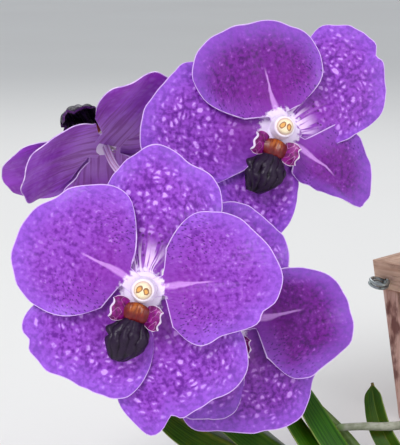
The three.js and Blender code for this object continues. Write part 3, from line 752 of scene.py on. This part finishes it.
# A bloom has its place, its turn about Z and its nod, the turn of its lip, its column's shift, and where
# its pedicel leaves the spike and how it bows. A tepal has its claw's place, its direction, its half angle,
# how far it reaches at even steps across that angle, its lift, slope and bend out of the bloom's plane, its
# wave's height, number and phase, and bumps of its edge by place, height and width.
blooms = {
    "front_bloom": {
        "place": (-214.2, -180.1, 125), "yaw": 0, "nod": 0, "lip_turn": -17, "column_at": (0, 0),
        "spike_at": 0.66, "bow": (-18, -10),
        "tepals": {
            "dorsal": ((0, 9.8), 84, 62, (20, 38, 48, 49, 53, 46, 36, 22, 10),
                       (-1, -4, 3), (1.2, 2.5, 0.4)),
            "petal_left": ((-7.5, 6.4), 150, 80, (5, 31.5, 39.5, 44.5, 49, 48, 42, 29, 12),
                           (1.4, 4, -2), (1.2, 2, 1)),
            "petal_right": ((8.8, 2.6), 4, 80, (14, 28, 33, 44.5, 51, 46.5, 39.5, 30.5, 12),
                            (1.4, 4, -3), (1.3, 2.2, 2), (-0.22, -2.2, 0.05)),
            "lateral_left": ((-4.9, -3.8), 232, 62, (14, 40, 48, 49, 44, 42, 42, 30, 14),
                             (-1.2, -1.5, -1), (1, 2, 0), (-0.46, -2, 0.05)),
            "lateral_right": ((3.6, -5.6), 300, 62, (16, 43, 54, 51, 50, 52, 45, 32, 14),
                              (-1.6, -5.4, -1), (1, 2.5, 2), (-0.46, 2.5, 0.08), (-0.31, -3, 0.05)),
        },
    },
    "upper_bloom": {
        "place": (-151.3, -126, 183), "yaw": 10, "nod": 0, "lip_turn": -22, "column_at": (-2, 4),
        "spike_at": 0.94, "bow": (14, 4),
        "tepals": {
            "dorsal": ((3.7, 6), 30, 50, (19, 28, 41, 49, 54, 57, 54, 47, 22),
                       (-1, -3, -1), (1.4, 2, 1), (0.12, -2.5, 0.05)),
            "petal_left": ((-2.8, 11), 105, 80, (7, 25, 37, 41, 43, 46, 45, 32, 12),
                           (1.4, 4, -2), (1.2, 2, 0.5)),
            "petal_right": ((6.9, -4.1), 322, 62, (9, 12, 18, 28, 41, 38, 33, 26, 17),
                            (1.2, -4, -8), (2, 1.5, 1.5), (-0.1, 4, 0.06)),
            "lateral_left": ((-7.8, 2.8), 170, 62, (16, 32, 48, 52, 58, 58, 50, 34, 16),
                             (-1.2, -1.5, 0), (1.2, 2, 2)),
            "lateral_right": ((-4.1, -6), 262, 62, (24, 32, 38, 42, 43, 34, 22, 14, 10),
                              (-1.6, -5.4, -2), (1, 2, 0)),
        },
    },
    "lower_bloom": {
        "place": (-178.5, -158.5, 104), "yaw": 4, "nod": 0, "lip_turn": -5, "column_at": (0, 0),
        "spike_at": 0.56, "bow": (10, -12),
        "tepals": {
            "dorsal": ((5, 7), 84, 60, (10, 26, 36, 41, 47, 47, 38, 22, 12),
                       (-1, -3, 0), (1.4, 2.5, 1)),
            "petal_left": ((-7, 1), 178, 75, (10, 17, 23, 29, 35, 38, 34, 26, 12),
                           (1.4, 1, -2), (1, 2, 1)),
            "petal_right": ((13, 2), 8, 80, (14, 31, 36, 44, 43, 38, 28, 20, 10),
                            (1.4, 3, -2), (1.2, 2.2, 2.4)),
            "lateral_left": ((-3, -7), 245, 60, (14, 30, 36, 38, 38, 36, 34, 24, 12),
                             (-1.2, -1.5, -1), (1, 2, 0)),
            "lateral_right": ((9, -6.5), 290, 65, (40, 46, 43, 43, 45, 44, 36, 32, 14),
                              (-1.6, -5.4, -1), (1, 2, 2)),
        },
    },
    "rear_bloom": {
        "place": (-236, -98, 176), "yaw": -150, "nod": -26, "lip_turn": 135, "column_at": (0, 0),
        "spike_at": 0.85, "bow": (0, -14),
        "tepals": {
            "dorsal": ((-2, -8), 256, 60, (18, 34, 42, 45, 46, 44, 38, 26, 12),
                       (-1, -3, 2), (1.2, 2, 0.4)),
            "petal_left": ((6, -5), 319, 66, (10, 26, 36, 42, 45, 42, 36, 26, 12),
                           (1.4, 4, 4), (1.2, 2, 1)),
            "petal_right": ((-8, 0), 184, 72, (10, 28, 38, 43, 46, 45, 38, 28, 12),
                            (1.4, 3, 4), (1.2, 2.2, 2)),
            "lateral_left": ((7, 1), 5, 66, (16, 30, 37, 41, 42, 40, 36, 28, 14),
                             (-1.2, -8, -14), (1, 2, 0)),
            "lateral_right": ((-3, 7), 109, 60, (16, 34, 40, 44, 45, 43, 38, 30, 14),
                              (-1.6, -3.4, -4), (1, 2, 2)),
        },
    },
}


def bloom_matrix(bloom):
    """Takes a bloom's own axes, with Z out of its face, to the object's."""
    turned = (Matrix.Rotation(math.radians(bloom["yaw"]), 4, "Z")
              @ Matrix.Rotation(math.radians(90 - look_down + bloom["nod"]), 4, "X"))
    return Matrix.Translation(Vector(bloom["place"]) * MM) @ turned


def product(tree, *factors):
    total = factors[0]
    for factor in factors[1:]:
        total = calc(tree, "MULTIPLY", total, factor)
    return total


def tepal_net_group():
    """The net of a tepal, laid out in its own fan: Patches is 1 inside a cell and 0 on the veins round it,
    Tone differs from cell to cell, and Veins are streaks that run out from the claw."""
    group, given, result = new_group(
        "tepal_net",
        [("Across", "Float"), ("Out", "Float"), ("Place", "Vector"), ("Cell", "Float")],
        [("Patches", "Float"), ("Tone", "Float"), ("Veins", "Float")])
    wander = node(group, "TexNoise", {"Vector": given["Place"], "Scale": 210.0, "Detail": 3.0})
    shift = node(group, "VectorMath", {0: wander.outputs["Color"], 1: (0.5, 0.5, 0.5)},
                 operation="SUBTRACT").outputs[0]
    fan = flat_place(group, given["Across"], 1.0, given["Out"], 0.8)
    wandered = node(group, "VectorMath", {0: shift, 1: (1.5, 1.5, 0), 2: fan},
                    operation="MULTIPLY_ADD").outputs[0]
    scaled = node(group, "VectorMath", {0: wandered, 3: calc(group, "DIVIDE", 1.0, given["Cell"])},
                  operation="SCALE").outputs[0]
    edges = node(group, "TexVoronoi", {"Vector": scaled, "Scale": 1.0, "Randomness": 0.8},
                 feature="DISTANCE_TO_EDGE").outputs["Distance"]
    cell = node(group, "TexVoronoi", {"Vector": scaled, "Scale": 1.0, "Randomness": 0.8}).outputs
    rounded = rise(group, cell["Distance"], 0.2, 0.62, 1.0, 0.25)
    group.links.new(product(group, rise(group, edges, -0.06, 0.34), rounded), result["Patches"])
    group.links.new(node(group, "SeparateColor", {0: cell["Color"]}).outputs[0], result["Tone"])
    streaks = flat_place(group, given["Across"], 0.75, given["Out"], 0.035)
    group.links.new(noise_at(group, streaks, 1.0, 3.0, 0.3), result["Veins"])
    return group


tepal_net = tepal_net_group()
tepal_glow = (2 * MM, 1 * MM, 2 * MM)


def three_tones(tree, tone, dark, middle, light):
    """Goes from dark over middle to light while tone goes from 0 to 1."""
    lower = blend_colours(tree, rise(tree, tone, 0.0, 0.5), dark, middle)
    return blend_colours(tree, rise(tree, tone, 0.5, 1.0), lower, light)


def by_kind(tree, petal, on_sepals, on_petals):
    """A number that differs between sepals, where petal is 0, and petals, where it is 1."""
    return calc(tree, "MULTIPLY_ADD", petal, on_petals - on_sepals, on_sepals)


def tepal_front_material():
    material, tree, shader = new_material("tepal_front", 0.45, Specular_IOR_Level=0.3,
                                          Subsurface_Weight=0.05)
    place = object_place(tree)
    names = ("across", "out", "edge", "petal", "depth", "rays", "fan", "centre")
    across, out, edge, petal, depth, rays, fan, centre = [attribute(tree, name) for name in names]
    net = node(tree, "Group", node_tree=tepal_net)
    for socket, value in (("Across", across), ("Out", out), ("Place", place),
                          ("Cell", by_kind(tree, petal, 2.3, 1.6))):
        tree.links.new(value, net.inputs[socket])

    clouds = noise_at(tree, place, 60.0, 3.0)
    mottle = noise_at(tree, place, 520.0, 4.0)
    away = rise(tree, edge, 0.5, 7.0, 0.45, 1.0)
    sepal_patches = product(tree, net.outputs["Patches"],
                            rise(tree, net.outputs["Tone"], 0.0, 1.0, 0.6, 1.0),
                            rise(tree, clouds, 0.3, 0.6, 0.75, 1.0), away)
    patches = calc(tree, "MULTIPLY", sepal_patches, by_kind(tree, petal, 0.92, 0.28))
    tone = calc(tree, "ADD", by_kind(tree, petal, 0.22, 0.34), patches)
    tone = calc(tree, "ADD", tone, rise(tree, mottle, 0.3, 0.7, -0.24, 0.24))
    tone = calc(tree, "ADD", tone, rise(tree, net.outputs["Veins"], 0.35, 0.65, -0.06, 0.06))
    pale_violet = three_tones(tree, tone, colour(100, 20, 146), colour(148, 68, 198), colour(206, 152, 244))
    deep_violet = three_tones(tree, tone, colour(64, 0, 88), colour(106, 10, 134), colour(172, 92, 204))
    violet = blend_colours(tree, depth, pale_violet, deep_violet)
    bluish = blend_colours(tree, rise(tree, edge, 0.5, 14.0, 0.45, 0.0), violet, colour(158, 100, 230))
    flushed = blend_colours(tree, rise(tree, centre, 8.0, 40.0, 0.65, 0.0), bluish, colour(124, 10, 146))

    speck_place = flat_place(tree, across, 0.95, out, 0.8)
    speck = node(tree, "TexVoronoi", {"Vector": speck_place, "Scale": 1.0}).outputs["Distance"]
    dotted = product(tree, rise(tree, speck, 0.2, 0.36, 0.8, 0.0), rise(tree, out, 5.0, 10.0),
                     rise(tree, out, 24.0, 40.0, 1.0, 0.0), rise(tree, clouds, 0.32, 0.46),
                     rise(tree, calc(tree, "ABSOLUTE", fan), 14.0, 34.0), petal)
    dots = blend_colours(tree, dotted, flushed, colour(66, 10, 106))

    ray = rise(tree, noise_at(tree, flat_place(tree, fan, 0.16, out, 0.05), 1.0, 1.0), 0.42, 0.56)
    dash_place = flat_place(tree, fan, 0.15, out, 0.42)
    dash = node(tree, "TexVoronoi", {"Vector": dash_place, "Scale": 1.0}).outputs["Distance"]
    beside = rise(tree, calc(tree, "ABSOLUTE", fan), 24.0, 46.0, 1.0, 0.0)
    dashes = product(tree, rise(tree, dash, 0.2, 0.34, 0.9, 0.0), rise(tree, out, 14.0, 22.0, 1.0, 0.0),
                     beside, rays)
    dashed = blend_colours(tree, dashes, dots, colour(78, 14, 104))
    lines = product(tree, ray, rise(tree, out, 3.0, 14.0, 0.95, 0.0), beside, rays)
    lined = blend_colours(tree, lines, dashed, colour(236, 206, 246))

    mid_width = rise(tree, out, 0.0, 17.0, 1.9, 0.42)
    wiggled = calc(tree, "ADD", across, rise(tree, clouds, 0.3, 0.7, -0.6, 0.6))
    mid = rise(tree, calc(tree, "DIVIDE", calc(tree, "ABSOLUTE", wiggled), mid_width), 0.4, 1.0, 1.0, 0.0)
    mid_share = product(tree, mid, rise(tree, out, 17.0, 23.0, 1.0, 0.0),
                        by_kind(tree, petal, 0.1, 0.7))
    veined = blend_colours(tree, mid_share, lined, colour(212, 150, 236))
    ragged = calc(tree, "ADD", centre, rise(tree, mottle, 0.25, 0.75, -1.6, 1.6))
    white = blend_colours(tree, rise(tree, ragged, 8.2, 10.8, 0.96, 0.0), veined, colour(238, 222, 248))
    rimmed = blend_colours(tree, rise(tree, edge, 0.15, 0.6, 0.85, 0.0), white, colour(222, 188, 244))
    shader.inputs["Subsurface Radius"].default_value = tepal_glow

    relief = calc(tree, "MULTIPLY_ADD", sepal_patches, 0.4, net.outputs["Veins"])
    feed(tree, shader, Base_Color=rimmed, Roughness=rise(tree, mottle, 0.3, 0.7, 0.36, 0.5),
         Normal=bump_at(tree, relief, 0.4 * MM))
    return material


def tepal_back_material():
    material, tree, shader = new_material("tepal_back", 0.5, Specular_IOR_Level=0.3, Subsurface_Weight=0.06)
    place = object_place(tree)
    across, out, edge, centre = [attribute(tree, name) for name in ("across", "out", "edge", "centre")]
    net = node(tree, "Group", node_tree=tepal_net)
    net.inputs["Cell"].default_value = 2.6
    for socket, value in (("Across", across), ("Out", out), ("Place", place)):
        tree.links.new(value, net.inputs[socket])
    clouds = noise_at(tree, place, 50.0, 3.0)
    violet = blend_colours(tree, rise(tree, clouds, 0.35, 0.68), colour(140, 34, 180), colour(170, 80, 218))
    spotted = blend_colours(tree, calc(tree, "MULTIPLY", net.outputs["Patches"], 0.25), violet,
                            colour(190, 128, 232))
    grey = blend_colours(tree, rise(tree, centre, 10.0, 32.0, 0.7, 0.0), spotted, colour(190, 138, 214))
    vein = rise(tree, net.outputs["Veins"], 0.48, 0.6)
    veined = blend_colours(tree, calc(tree, "MULTIPLY", vein, rise(tree, out, 14.0, 36.0, 0.5, 0.08)), grey,
                           colour(118, 16, 124))
    rimmed = blend_colours(tree, rise(tree, edge, 0.1, 0.6, 0.6, 0.0), veined, colour(196, 150, 226))
    shader.inputs["Subsurface Radius"].default_value = tepal_glow
    feed(tree, shader, Base_Color=rimmed, Normal=bump_at(tree, net.outputs["Veins"], 0.6 * MM))
    return material


def tepal_rim_material():
    material, tree, shader = new_material("tepal_rim", 0.45)
    patches = noise_at(tree, object_place(tree), 240.0, 3.0)
    pale = blend_colours(tree, rise(tree, patches, 0.35, 0.7), colour(232, 204, 248), colour(192, 146, 226))
    feed(tree, shader, Base_Color=pale)
    return material


tepal_front = tepal_front_material()
# Solidify makes the grid's own side the back, then the front, then the rim.
tepal_finishes = [tepal_back_material(), tepal_front, tepal_rim_material()]


def tepal_piece(name, tepal, bloom, look, seed):
    """One tepal in its bloom's own axes, in metres. look holds the marks that are the same all over it."""
    base, turn, spread, reach, (lift, slope, bend), (wave, waves, phase), *bumps = tepal
    start = Vector((base[0], base[1], 0)) * MM
    column_at = Vector((*bloom["column_at"], 0)) * MM
    along_claw = math.radians(turn)
    claw_side = Vector((-math.sin(along_claw), math.cos(along_claw), 0))
    claw_half, narrowing = claw_widths["petal" if look["petal"] else "sepal"]

    def blade_share(s):
        inner = max(s - claw_share, 0) / (1 - claw_share)
        return 1 - (1 - inner) ** 1.35

    def rim_at(t):
        """How far out the tepal's edge lies, with its bumps and notches."""
        ripple = 0.5 * math.sin(8.3 * t + 5 * phase) + 0.9 * noise.noise(Vector((9 * t, seed, 0.5)))
        lobes = sum(height * math.exp(-((t - at) / width) ** 2) for at, height, width in bumps)
        return smooth_value(reach, (t + 1) / 2) + ripple + lobes

    def out_at(s, t):
        return blade_share(s) * rim_at(t)

    def tepal_place(s, t):
        b = blade_share(s)
        across = claw_side * claw_half * MM * t * (1 - narrowing * b)
        if s < claw_share:
            share = claw_from + (1 - claw_from) * s / claw_share
            return start * share + across + Vector((0, 0, lift * MM))
        angle = math.radians(turn + spread * t)
        out = out_at(s, t)
        far = out / blade_length
        height = lift + slope * far + bend * far * far
        height += wave * b * b * math.sin(waves * math.pi * t + phase)
        height += edge_frill * b ** 5 * math.sin(4.6 * math.pi * t + 2 * phase + seed)
        from_crease = out * math.radians(spread) * t / crease_width
        height -= crease_depth * math.exp(-from_crease ** 2) * b * (1 - b) * 4
        point = start + across + Vector((math.cos(angle), math.sin(angle), 0)) * out * MM
        height += unevenness * b * noise.noise(point / uneven_size + Vector((seed, 0, 0)))
        point.z = height * MM
        return point

    def arc_at(s, t):
        return t * (math.radians(spread) * out_at(s, t) * 0.55 + 5)

    def edge_at(s, t):
        side = (1 - abs(t)) * math.radians(spread) * max(out_at(s, t), 3) + 2 * (1 - abs(t))
        return min((1 - blade_share(s)) * rim_at(t), side)

    def centre_at(s, t):
        away = tepal_place(s, t) - column_at
        return away.xy.length / MM

    marks = {"across": arc_at, "out": out_at, "edge": edge_at, "centre": centre_at,
             "fan": lambda s, t: spread * t}
    marks.update({mark_name: lambda s, t, value=value: value for mark_name, value in look.items()})
    sheet = grid_sheet(name, tepal_rows, tepal_columns, tepal_place, marks)
    for material in tepal_finishes:
        sheet.data.materials.append(material)
    thick = sheet.vertex_groups.new(name="thick")
    for vertex, edge in zip(sheet.data.vertices, sheet.data.attributes["edge"].data):
        thick.add([vertex.index], min(edge.value / 4, 1), "REPLACE")
    add_modifier(sheet, "SOLIDIFY", thickness=tepal_thickness, offset=0, vertex_group="thick",
                 thickness_vertex_group=0.55, material_offset=1, material_offset_rim=2)
    return sheet


def hub_piece(name, bloom):
    """The disc in which a bloom's tepals join, marked as white all over."""
    bpy.ops.mesh.primitive_uv_sphere_add(segments=32, ring_count=16, radius=hub_radius)
    hub = bpy.context.object
    hub.name = name
    hub.data.transform(Matrix.Diagonal((1, 1, hub_half_depth / hub_radius, 1)))
    column_at = Vector((*bloom["column_at"], 0)) * MM
    count = len(hub.data.vertices)
    mark(hub, "centre", [(vertex.co - column_at).xy.length / MM for vertex in hub.data.vertices])
    for mark_name, value in (("across", 5.0), ("edge", 9.0), ("out", 0.0), ("petal", 0.0), ("depth", 0.0),
                             ("rays", 0.0), ("fan", 0.0)):
        mark(hub, mark_name, [value] * count)
    hub.data.materials.append(tepal_front)
    return hub


# How deep the violet of each bloom's sepals and of its petals is, from 0 to 1.
tepal_depths = {"front_bloom": (0.0, 0.1), "upper_bloom": (0.15, 0.9), "lower_bloom": (0.35, 1.0),
                "rear_bloom": (0.6, 0.8)}
for seed, (bloom_name, bloom) in enumerate(blooms.items()):
    tepals = []
    for kind, tepal in bloom["tepals"].items():
        is_petal = kind.startswith("petal")
        look = {"petal": float(is_petal), "depth": tepal_depths[bloom_name][is_petal],
                "rays": float(kind == "dorsal")}
        tepals.append(tepal_piece(f"{bloom_name}_{kind}", tepal, bloom, look, seed * 5 + len(tepals)))
    hub = hub_piece(bloom_name + "_hub", bloom)
    whole = join(tepals + [hub])
    whole.name = bloom_name + "_petals_and_sepals"
    whole.data.transform(bloom_matrix(bloom))
    stands_for(whole, bloom_name + "_tepals", smooth_angle=60)


# Columns: the stout white column in the middle of each bloom, with a cream anther cap at its end that
# carries two brown-orange spots.
column_foot = 2.3 * MM
column_back = 0.8
cap_from = 7
cap_height = 2.7
column_profile = [(6.2, 0), (5.8, 1.5), (5.3, 3.4), (5.1, 5), (5.0, 6.2), (4.6, 6.9), (4.1, 7.0),
                  (3.8, 6.9), (3.6, 7.6), (3.2, 8.6), (2.4, 9.3), (1.2, 9.7)]


def keep_own_place(piece):
    """Keeps each vertex's place in millimetres, in the piece's own axes, for its material."""
    own = piece.data.attributes.new("own_place", "FLOAT_VECTOR", "POINT")
    own.data.foreach_set("vector", [value / MM for vertex in piece.data.vertices for value in vertex.co])


def own_place(tree):
    return node(tree, "Attribute", attribute_name="own_place").outputs["Vector"]


def distance_to(tree, place, point):
    return node(tree, "VectorMath", {0: place, 1: point}, operation="DISTANCE").outputs["Value"]


def column_material():
    material, tree, shader = new_material("column_wax", 0.38, Subsurface_Weight=0.1)
    own = own_place(tree)
    grain = noise_at(tree, object_place(tree), 420.0, 3.0)
    apart = node(tree, "SeparateXYZ", {0: own}).outputs
    white = blend_colours(tree, grain, colour(232, 214, 240), colour(250, 244, 250))
    flat = flat_place(tree, apart[0], 1.0, apart[1], 1.0)
    from_middle = distance_to(tree, flat, (0, column_back, 0))
    # The tan ring in the step round the anther cap is painted shadow.
    step_shadow = blend_colours(tree, rise(tree, from_middle, 3.5, 4.3, 0.8, 0.0), white, colour(208, 164, 120))
    marked = blend_colours(tree, rise(tree, from_middle, 3.2, 3.8, 1.0, 0.0), step_shadow, colour(250, 230, 196))
    for side in (-1, 1):
        slanted = calc(tree, "MULTIPLY_ADD", apart[1], 0.25 * side, apart[0])
        away = distance_to(tree, flat_place(tree, slanted, 1.0, apart[1], 0.7), (side * 1.75, 0.5, 0))
        ragged = calc(tree, "ADD", away, rise(tree, grain, 0.3, 0.7, -0.25, 0.25))
        amber = blend_colours(tree, rise(tree, ragged, 0.45, 0.95), colour(226, 160, 70),
                              colour(120, 52, 14))
        marked = blend_colours(tree, rise(tree, ragged, 1.0, 1.35, 0.92, 0.0), marked, amber)
    shader.inputs["Subsurface Radius"].default_value = (2 * MM, 1.5 * MM, 1.5 * MM)
    feed(tree, shader, Base_Color=marked, Normal=bump_at(tree, grain, 0.12 * MM))
    return material


column_wax = column_material()
for bloom_name, bloom in blooms.items():
    bpy.ops.object.select_all(action="DESELECT")
    bpy.ops.mesh.primitive_circle_add(vertices=32, radius=column_profile[0][0] * MM, fill_type="NGON",
                                      location=(0, 0, 0))
    column = bpy.context.object
    column.name = bloom_name + "_column_and_cap"
    bpy.ops.object.mode_set(mode="EDIT")
    bpy.ops.mesh.select_all(action="SELECT")
    for (radius, height), (next_radius, next_height) in zip(column_profile, column_profile[1:]):
        bpy.ops.mesh.extrude_region_move(
            TRANSFORM_OT_translate={"value": (0, 0, (next_height - height) * MM)})
        scale = next_radius / radius
        bpy.ops.transform.resize(value=(scale, scale, 1), center_override=(0, 0, next_height * MM))
    bpy.ops.object.mode_set(mode="OBJECT")
    turn_faces_out(column)
    for vertex in column.data.vertices:
        x, y, z = vertex.co / MM
        cap_share = max(z - cap_from, 0) / cap_height
        brow = 0.5 * cap_share * math.exp(-((y - 1.6) / 1.4) ** 2)
        furrow = 0.6 * cap_share * math.exp(-(x / 0.5) ** 2)
        pits = 0.5 * cap_share * math.exp(-((abs(x) - 1.7) ** 2 + y * y * 0.5) / 0.8)
        vertex.co.z += (brow - furrow - pits) * MM
    add_modifier(column, "SUBSURF", levels=1, render_levels=1)
    column.data.transform(Matrix.Translation((0, column_back * MM, column_foot)))
    keep_own_place(column)
    shift = Matrix.Translation(Vector((*bloom["column_at"], 0)) * MM)
    bloom["centre"] = bloom_matrix(bloom) @ shift @ Matrix.Rotation(math.radians(bloom["lip_turn"]), 4, "Z")
    column.data.transform(bloom["centre"])
    stands_for(column, bloom_name + "_column", column_wax, 60)


# Throats: the lip's two side lobes stand up like small square wings beside the callus. They are magenta with
# white edges and a few pale swirls. The callus is orange-brown and maroon, with a groove between two humps.
throat_at = -9.5
throat_height = 3.4
lobe_from = 4.3
lobe_reach = 6.4
callus_half = (6.6, 4.4, 1.5)
callus_height = 4.1


def throat_material():
    material, tree, shader = new_material("throat_wax", 0.35, Specular_IOR_Level=0.4,
                                          Subsurface_Weight=0.08)
    grain = noise_at(tree, object_place(tree), 520.0, 3.0)
    rim_share = attribute(tree, "rim")
    callus = attribute(tree, "callus")
    own = own_place(tree)
    apart = node(tree, "SeparateXYZ", {0: own}).outputs
    lobe = blend_colours(tree, rise(tree, grain, 0.35, 0.65), colour(92, 0, 84), colour(142, 12, 130))
    swirl = calc(tree, "ABSOLUTE", calc(tree, "SUBTRACT", noise_at(tree, own, 0.3, 0.0), 0.52))
    swirled = blend_colours(tree, rise(tree, swirl, 0.0, 0.03, 0.5, 0.0), lobe, colour(226, 160, 216))
    rimmed = blend_colours(tree, rise(tree, rim_share, 0.72, 0.95), swirled, colour(242, 222, 244))
    maroon = blend_colours(tree, grain, colour(70, 4, 22), colour(128, 22, 30))
    streaks = noise_at(tree, stretched(tree, own, (1.1, 0.25, 0.25)), 1.0)
    amber = blend_colours(tree, rise(tree, streaks, 0.35, 0.65), colour(112, 38, 10), colour(182, 96, 28))
    off_middle = calc(tree, "ABSOLUTE", calc(tree, "ADD", apart[0], 0.6))
    fleshy = blend_colours(tree, rise(tree, off_middle, 1.6, 4.6, 0.85, 0.0), maroon, amber)
    lower = rise(tree, apart[1], throat_at - 1.5, throat_at + 2, 0.95, 0.0)
    shaded = blend_colours(tree, lower, fleshy, maroon)
    feed(tree, shader, Base_Color=blend_colours(tree, callus, rimmed, shaded),
         Normal=bump_at(tree, grain, 0.2 * MM))
    return material


throat_wax = throat_material()


def side_lobe(name, side):
    def lobe_place(s, t):
        half = 3.4 + 1.9 * math.sin(math.pi * min(s + 0.15, 1) * 0.75) - 1.1 * max(s - 0.75, 0) * 4 * t ** 4
        curl = 0.9 * math.sin(math.pi * s) + 0.6 * math.sin(5 * t + 2 * side) * s
        out = lobe_from + lobe_reach * s + 0.4 * math.cos(6 * t) * s
        down = throat_at + 0.4 + t * half - 0.8 * s
        height = throat_height + 5.2 * s ** 1.4 - 1.8 * t * t * s + curl
        return Vector((side * out, down, height)) * MM

    marks = {"rim": lambda s, t: max(s ** 5, abs(t) ** 6), "callus": lambda s, t: 0.0}
    lobe = grid_sheet(name, 24, 24, lobe_place, marks)
    add_modifier(lobe, "SOLIDIFY", thickness=1.0 * MM, offset=0)
    return lobe


for bloom_name, bloom in blooms.items():
    left = side_lobe(bloom_name + "_side_lobes", -1)
    right = side_lobe(bloom_name + "_side_lobe_right", 1)
    bpy.ops.mesh.primitive_uv_sphere_add(segments=40, ring_count=24, radius=1)
    callus = bpy.context.object
    for vertex in callus.data.vertices:
        x, y, z = vertex.co
        humps = 0.9 * math.exp(-((abs(x) - 0.42) / 0.25) ** 2) - 0.5 * math.exp(-(x / 0.16) ** 2)
        height = callus_height + callus_half[2] * z + humps * max(z, 0)
        vertex.co = Vector((callus_half[0] * x, throat_at + callus_half[1] * y, height)) * MM
    for mark_name, value in (("rim", 0.0), ("callus", 1.0)):
        mark(callus, mark_name, [value] * len(callus.data.vertices))
    join([left, right, callus])
    keep_own_place(left)
    left.data.transform(bloom["centre"])
    stands_for(left, bloom_name + "_throat", throat_wax, 70)


# Lips: the middle lobe of each lip, a thick black-purple tongue with five raised keels that run down it in
# a curve. Its left margin has a small tooth, and its end is rounded and bent to one side.
lip_length = 17.5
lip_half = 9
lip_start = -13.6
lip_thickness = 2 * MM
keel_height = 2.3
tooth_height = 1.3
lip_widths = [0.55, 0.78, 0.96, 1, 0.94, 0.78, 0.56, 0.3]


def lip_material():
    material, tree, shader = new_material("lip_wax", 0.34, Specular_IOR_Level=0.22)
    grain = noise_at(tree, object_place(tree), 380.0, 5.0)
    keel = attribute(tree, "keel")
    dark = blend_colours(tree, rise(tree, grain, 0.35, 0.7), colour(4, 0, 5), colour(16, 5, 20))
    # The paler purple-grey on the crests of the keels is a painted highlight.
    keel_highlight = blend_colours(tree, rise(tree, keel, 0.6, 1.0, 0.0, 0.4), dark, colour(58, 36, 72))
    flushed = blend_colours(tree, rise(tree, attribute(tree, "margin"), 0.8, 1.0, 0.0, 0.5), keel_highlight,
                            colour(96, 34, 118))
    feed(tree, shader, Base_Color=flushed, Roughness=rise(tree, grain, 0.3, 0.7, 0.26, 0.46),
         Normal=bump_at(tree, grain, 0.5 * MM))
    return material


lip_wax = lip_material()
for seed, (bloom_name, bloom) in enumerate(blooms.items()):
    def keel_at(s, t):
        bent = t + 0.16 * math.sin(4 * s + 0.6) + 0.14 * noise.noise(Vector((3 * t, 5 * s, seed)))
        return abs(math.cos(2.5 * math.pi * bent)) ** 0.7

    def lip_place(s, t):
        tooth = math.exp(-((s - 0.3) / 0.07) ** 2) - 1.3 * math.exp(-((s - 0.46) / 0.06) ** 2)
        half = lip_half * smooth_value(lip_widths, s) + (tooth_height * tooth * abs(t) ** 3 if t < 0 else 0)
        fading = math.sin(math.pi * min(s * 0.8 + 0.22, 1))
        height = 4.4 + 4.2 * math.sin(2.2 * s) - 3.2 * t * t - 4.4 * s * s
        height += keel_height * (keel_at(s, t) - 0.6) * fading
        height += 0.9 * noise.noise(Vector((t * 2.5, s * 3.5, seed * 3.0)))
        return Vector((half * t - 2.6 * s * s, lip_start - lip_length * s, height)) * MM

    lip = grid_sheet(bloom_name + "_lip_lobe", 60, 88, lip_place,
                     {"keel": keel_at, "margin": lambda s, t: max(abs(t) ** 6, s ** 9)})
    thick = lip.vertex_groups.new(name="thick")
    for vertex, margin in zip(lip.data.vertices, lip.data.attributes["margin"].data):
        thick.add([vertex.index], 1 - 0.7 * margin.value, "REPLACE")
    add_modifier(lip, "SOLIDIFY", thickness=lip_thickness, offset=-0.5, vertex_group="thick",
                 thickness_vertex_group=0.25)
    lip.data.transform(bloom["centre"])
    stands_for(lip, bloom_name + "_lip", lip_wax, 70)


# Pedicels: the lilac-white ribbed stalk and ovary of each bloom, which bows from the spike to the back of
# the hub.
pedicel_radius = 1.7 * MM
straight_behind = 14 * MM


def pedicel_material():
    material, tree, shader = new_material("pedicel_skin", 0.45, Subsurface_Weight=0.08)
    along = attribute(tree, "along")
    around = attribute(tree, "around")
    ribs = calc(tree, "SINE", calc(tree, "MULTIPLY_ADD", around, 12 * math.pi,
                                   calc(tree, "MULTIPLY", along, 3.0)))
    mottle = noise_at(tree, object_place(tree), 260.0, 3.0)
    pale = blend_colours(tree, mottle, colour(232, 210, 238), colour(206, 172, 222))
    ribbed = blend_colours(tree, rise(tree, ribs, -1.0, 0.4, 0.65, 0.0), pale, colour(158, 78, 150))
    greenish = blend_colours(tree, rise(tree, along, 0.0, 0.25, 0.6, 0.0), ribbed, colour(158, 168, 118))
    feed(tree, shader, Base_Color=greenish, Normal=bump_at(tree, mottle, 0.15 * MM))
    return material


pedicel_skin = pedicel_material()
for bloom_name, bloom in blooms.items():
    to_object = bloom_matrix(bloom)
    hub_back = to_object @ Vector((0, 0, -hub_half_depth))
    behind = to_object @ Vector((0, 0, -(hub_half_depth + straight_behind)))
    root = spike_places[round(bloom["spike_at"] * spike_steps)]
    bow_x, bow_z = bloom["bow"]
    sag = root.lerp(behind, 0.5) + Vector((bow_x, 0, bow_z)) * MM
    route = [tuple(place / MM) for place in (root, sag, behind, hub_back)]
    pedicel = cord_piece(
        bloom_name + "_ribbed_pedicel", smooth_route(route, 60),
        lambda t: pedicel_radius * (0.82 + 0.3 * t), 30,
        lambda t, turn: 1 + 0.09 * math.sin(12 * math.pi * turn + 3 * t))
    stands_for(pedicel, bloom_name + "_pedicel", pedicel_skin)
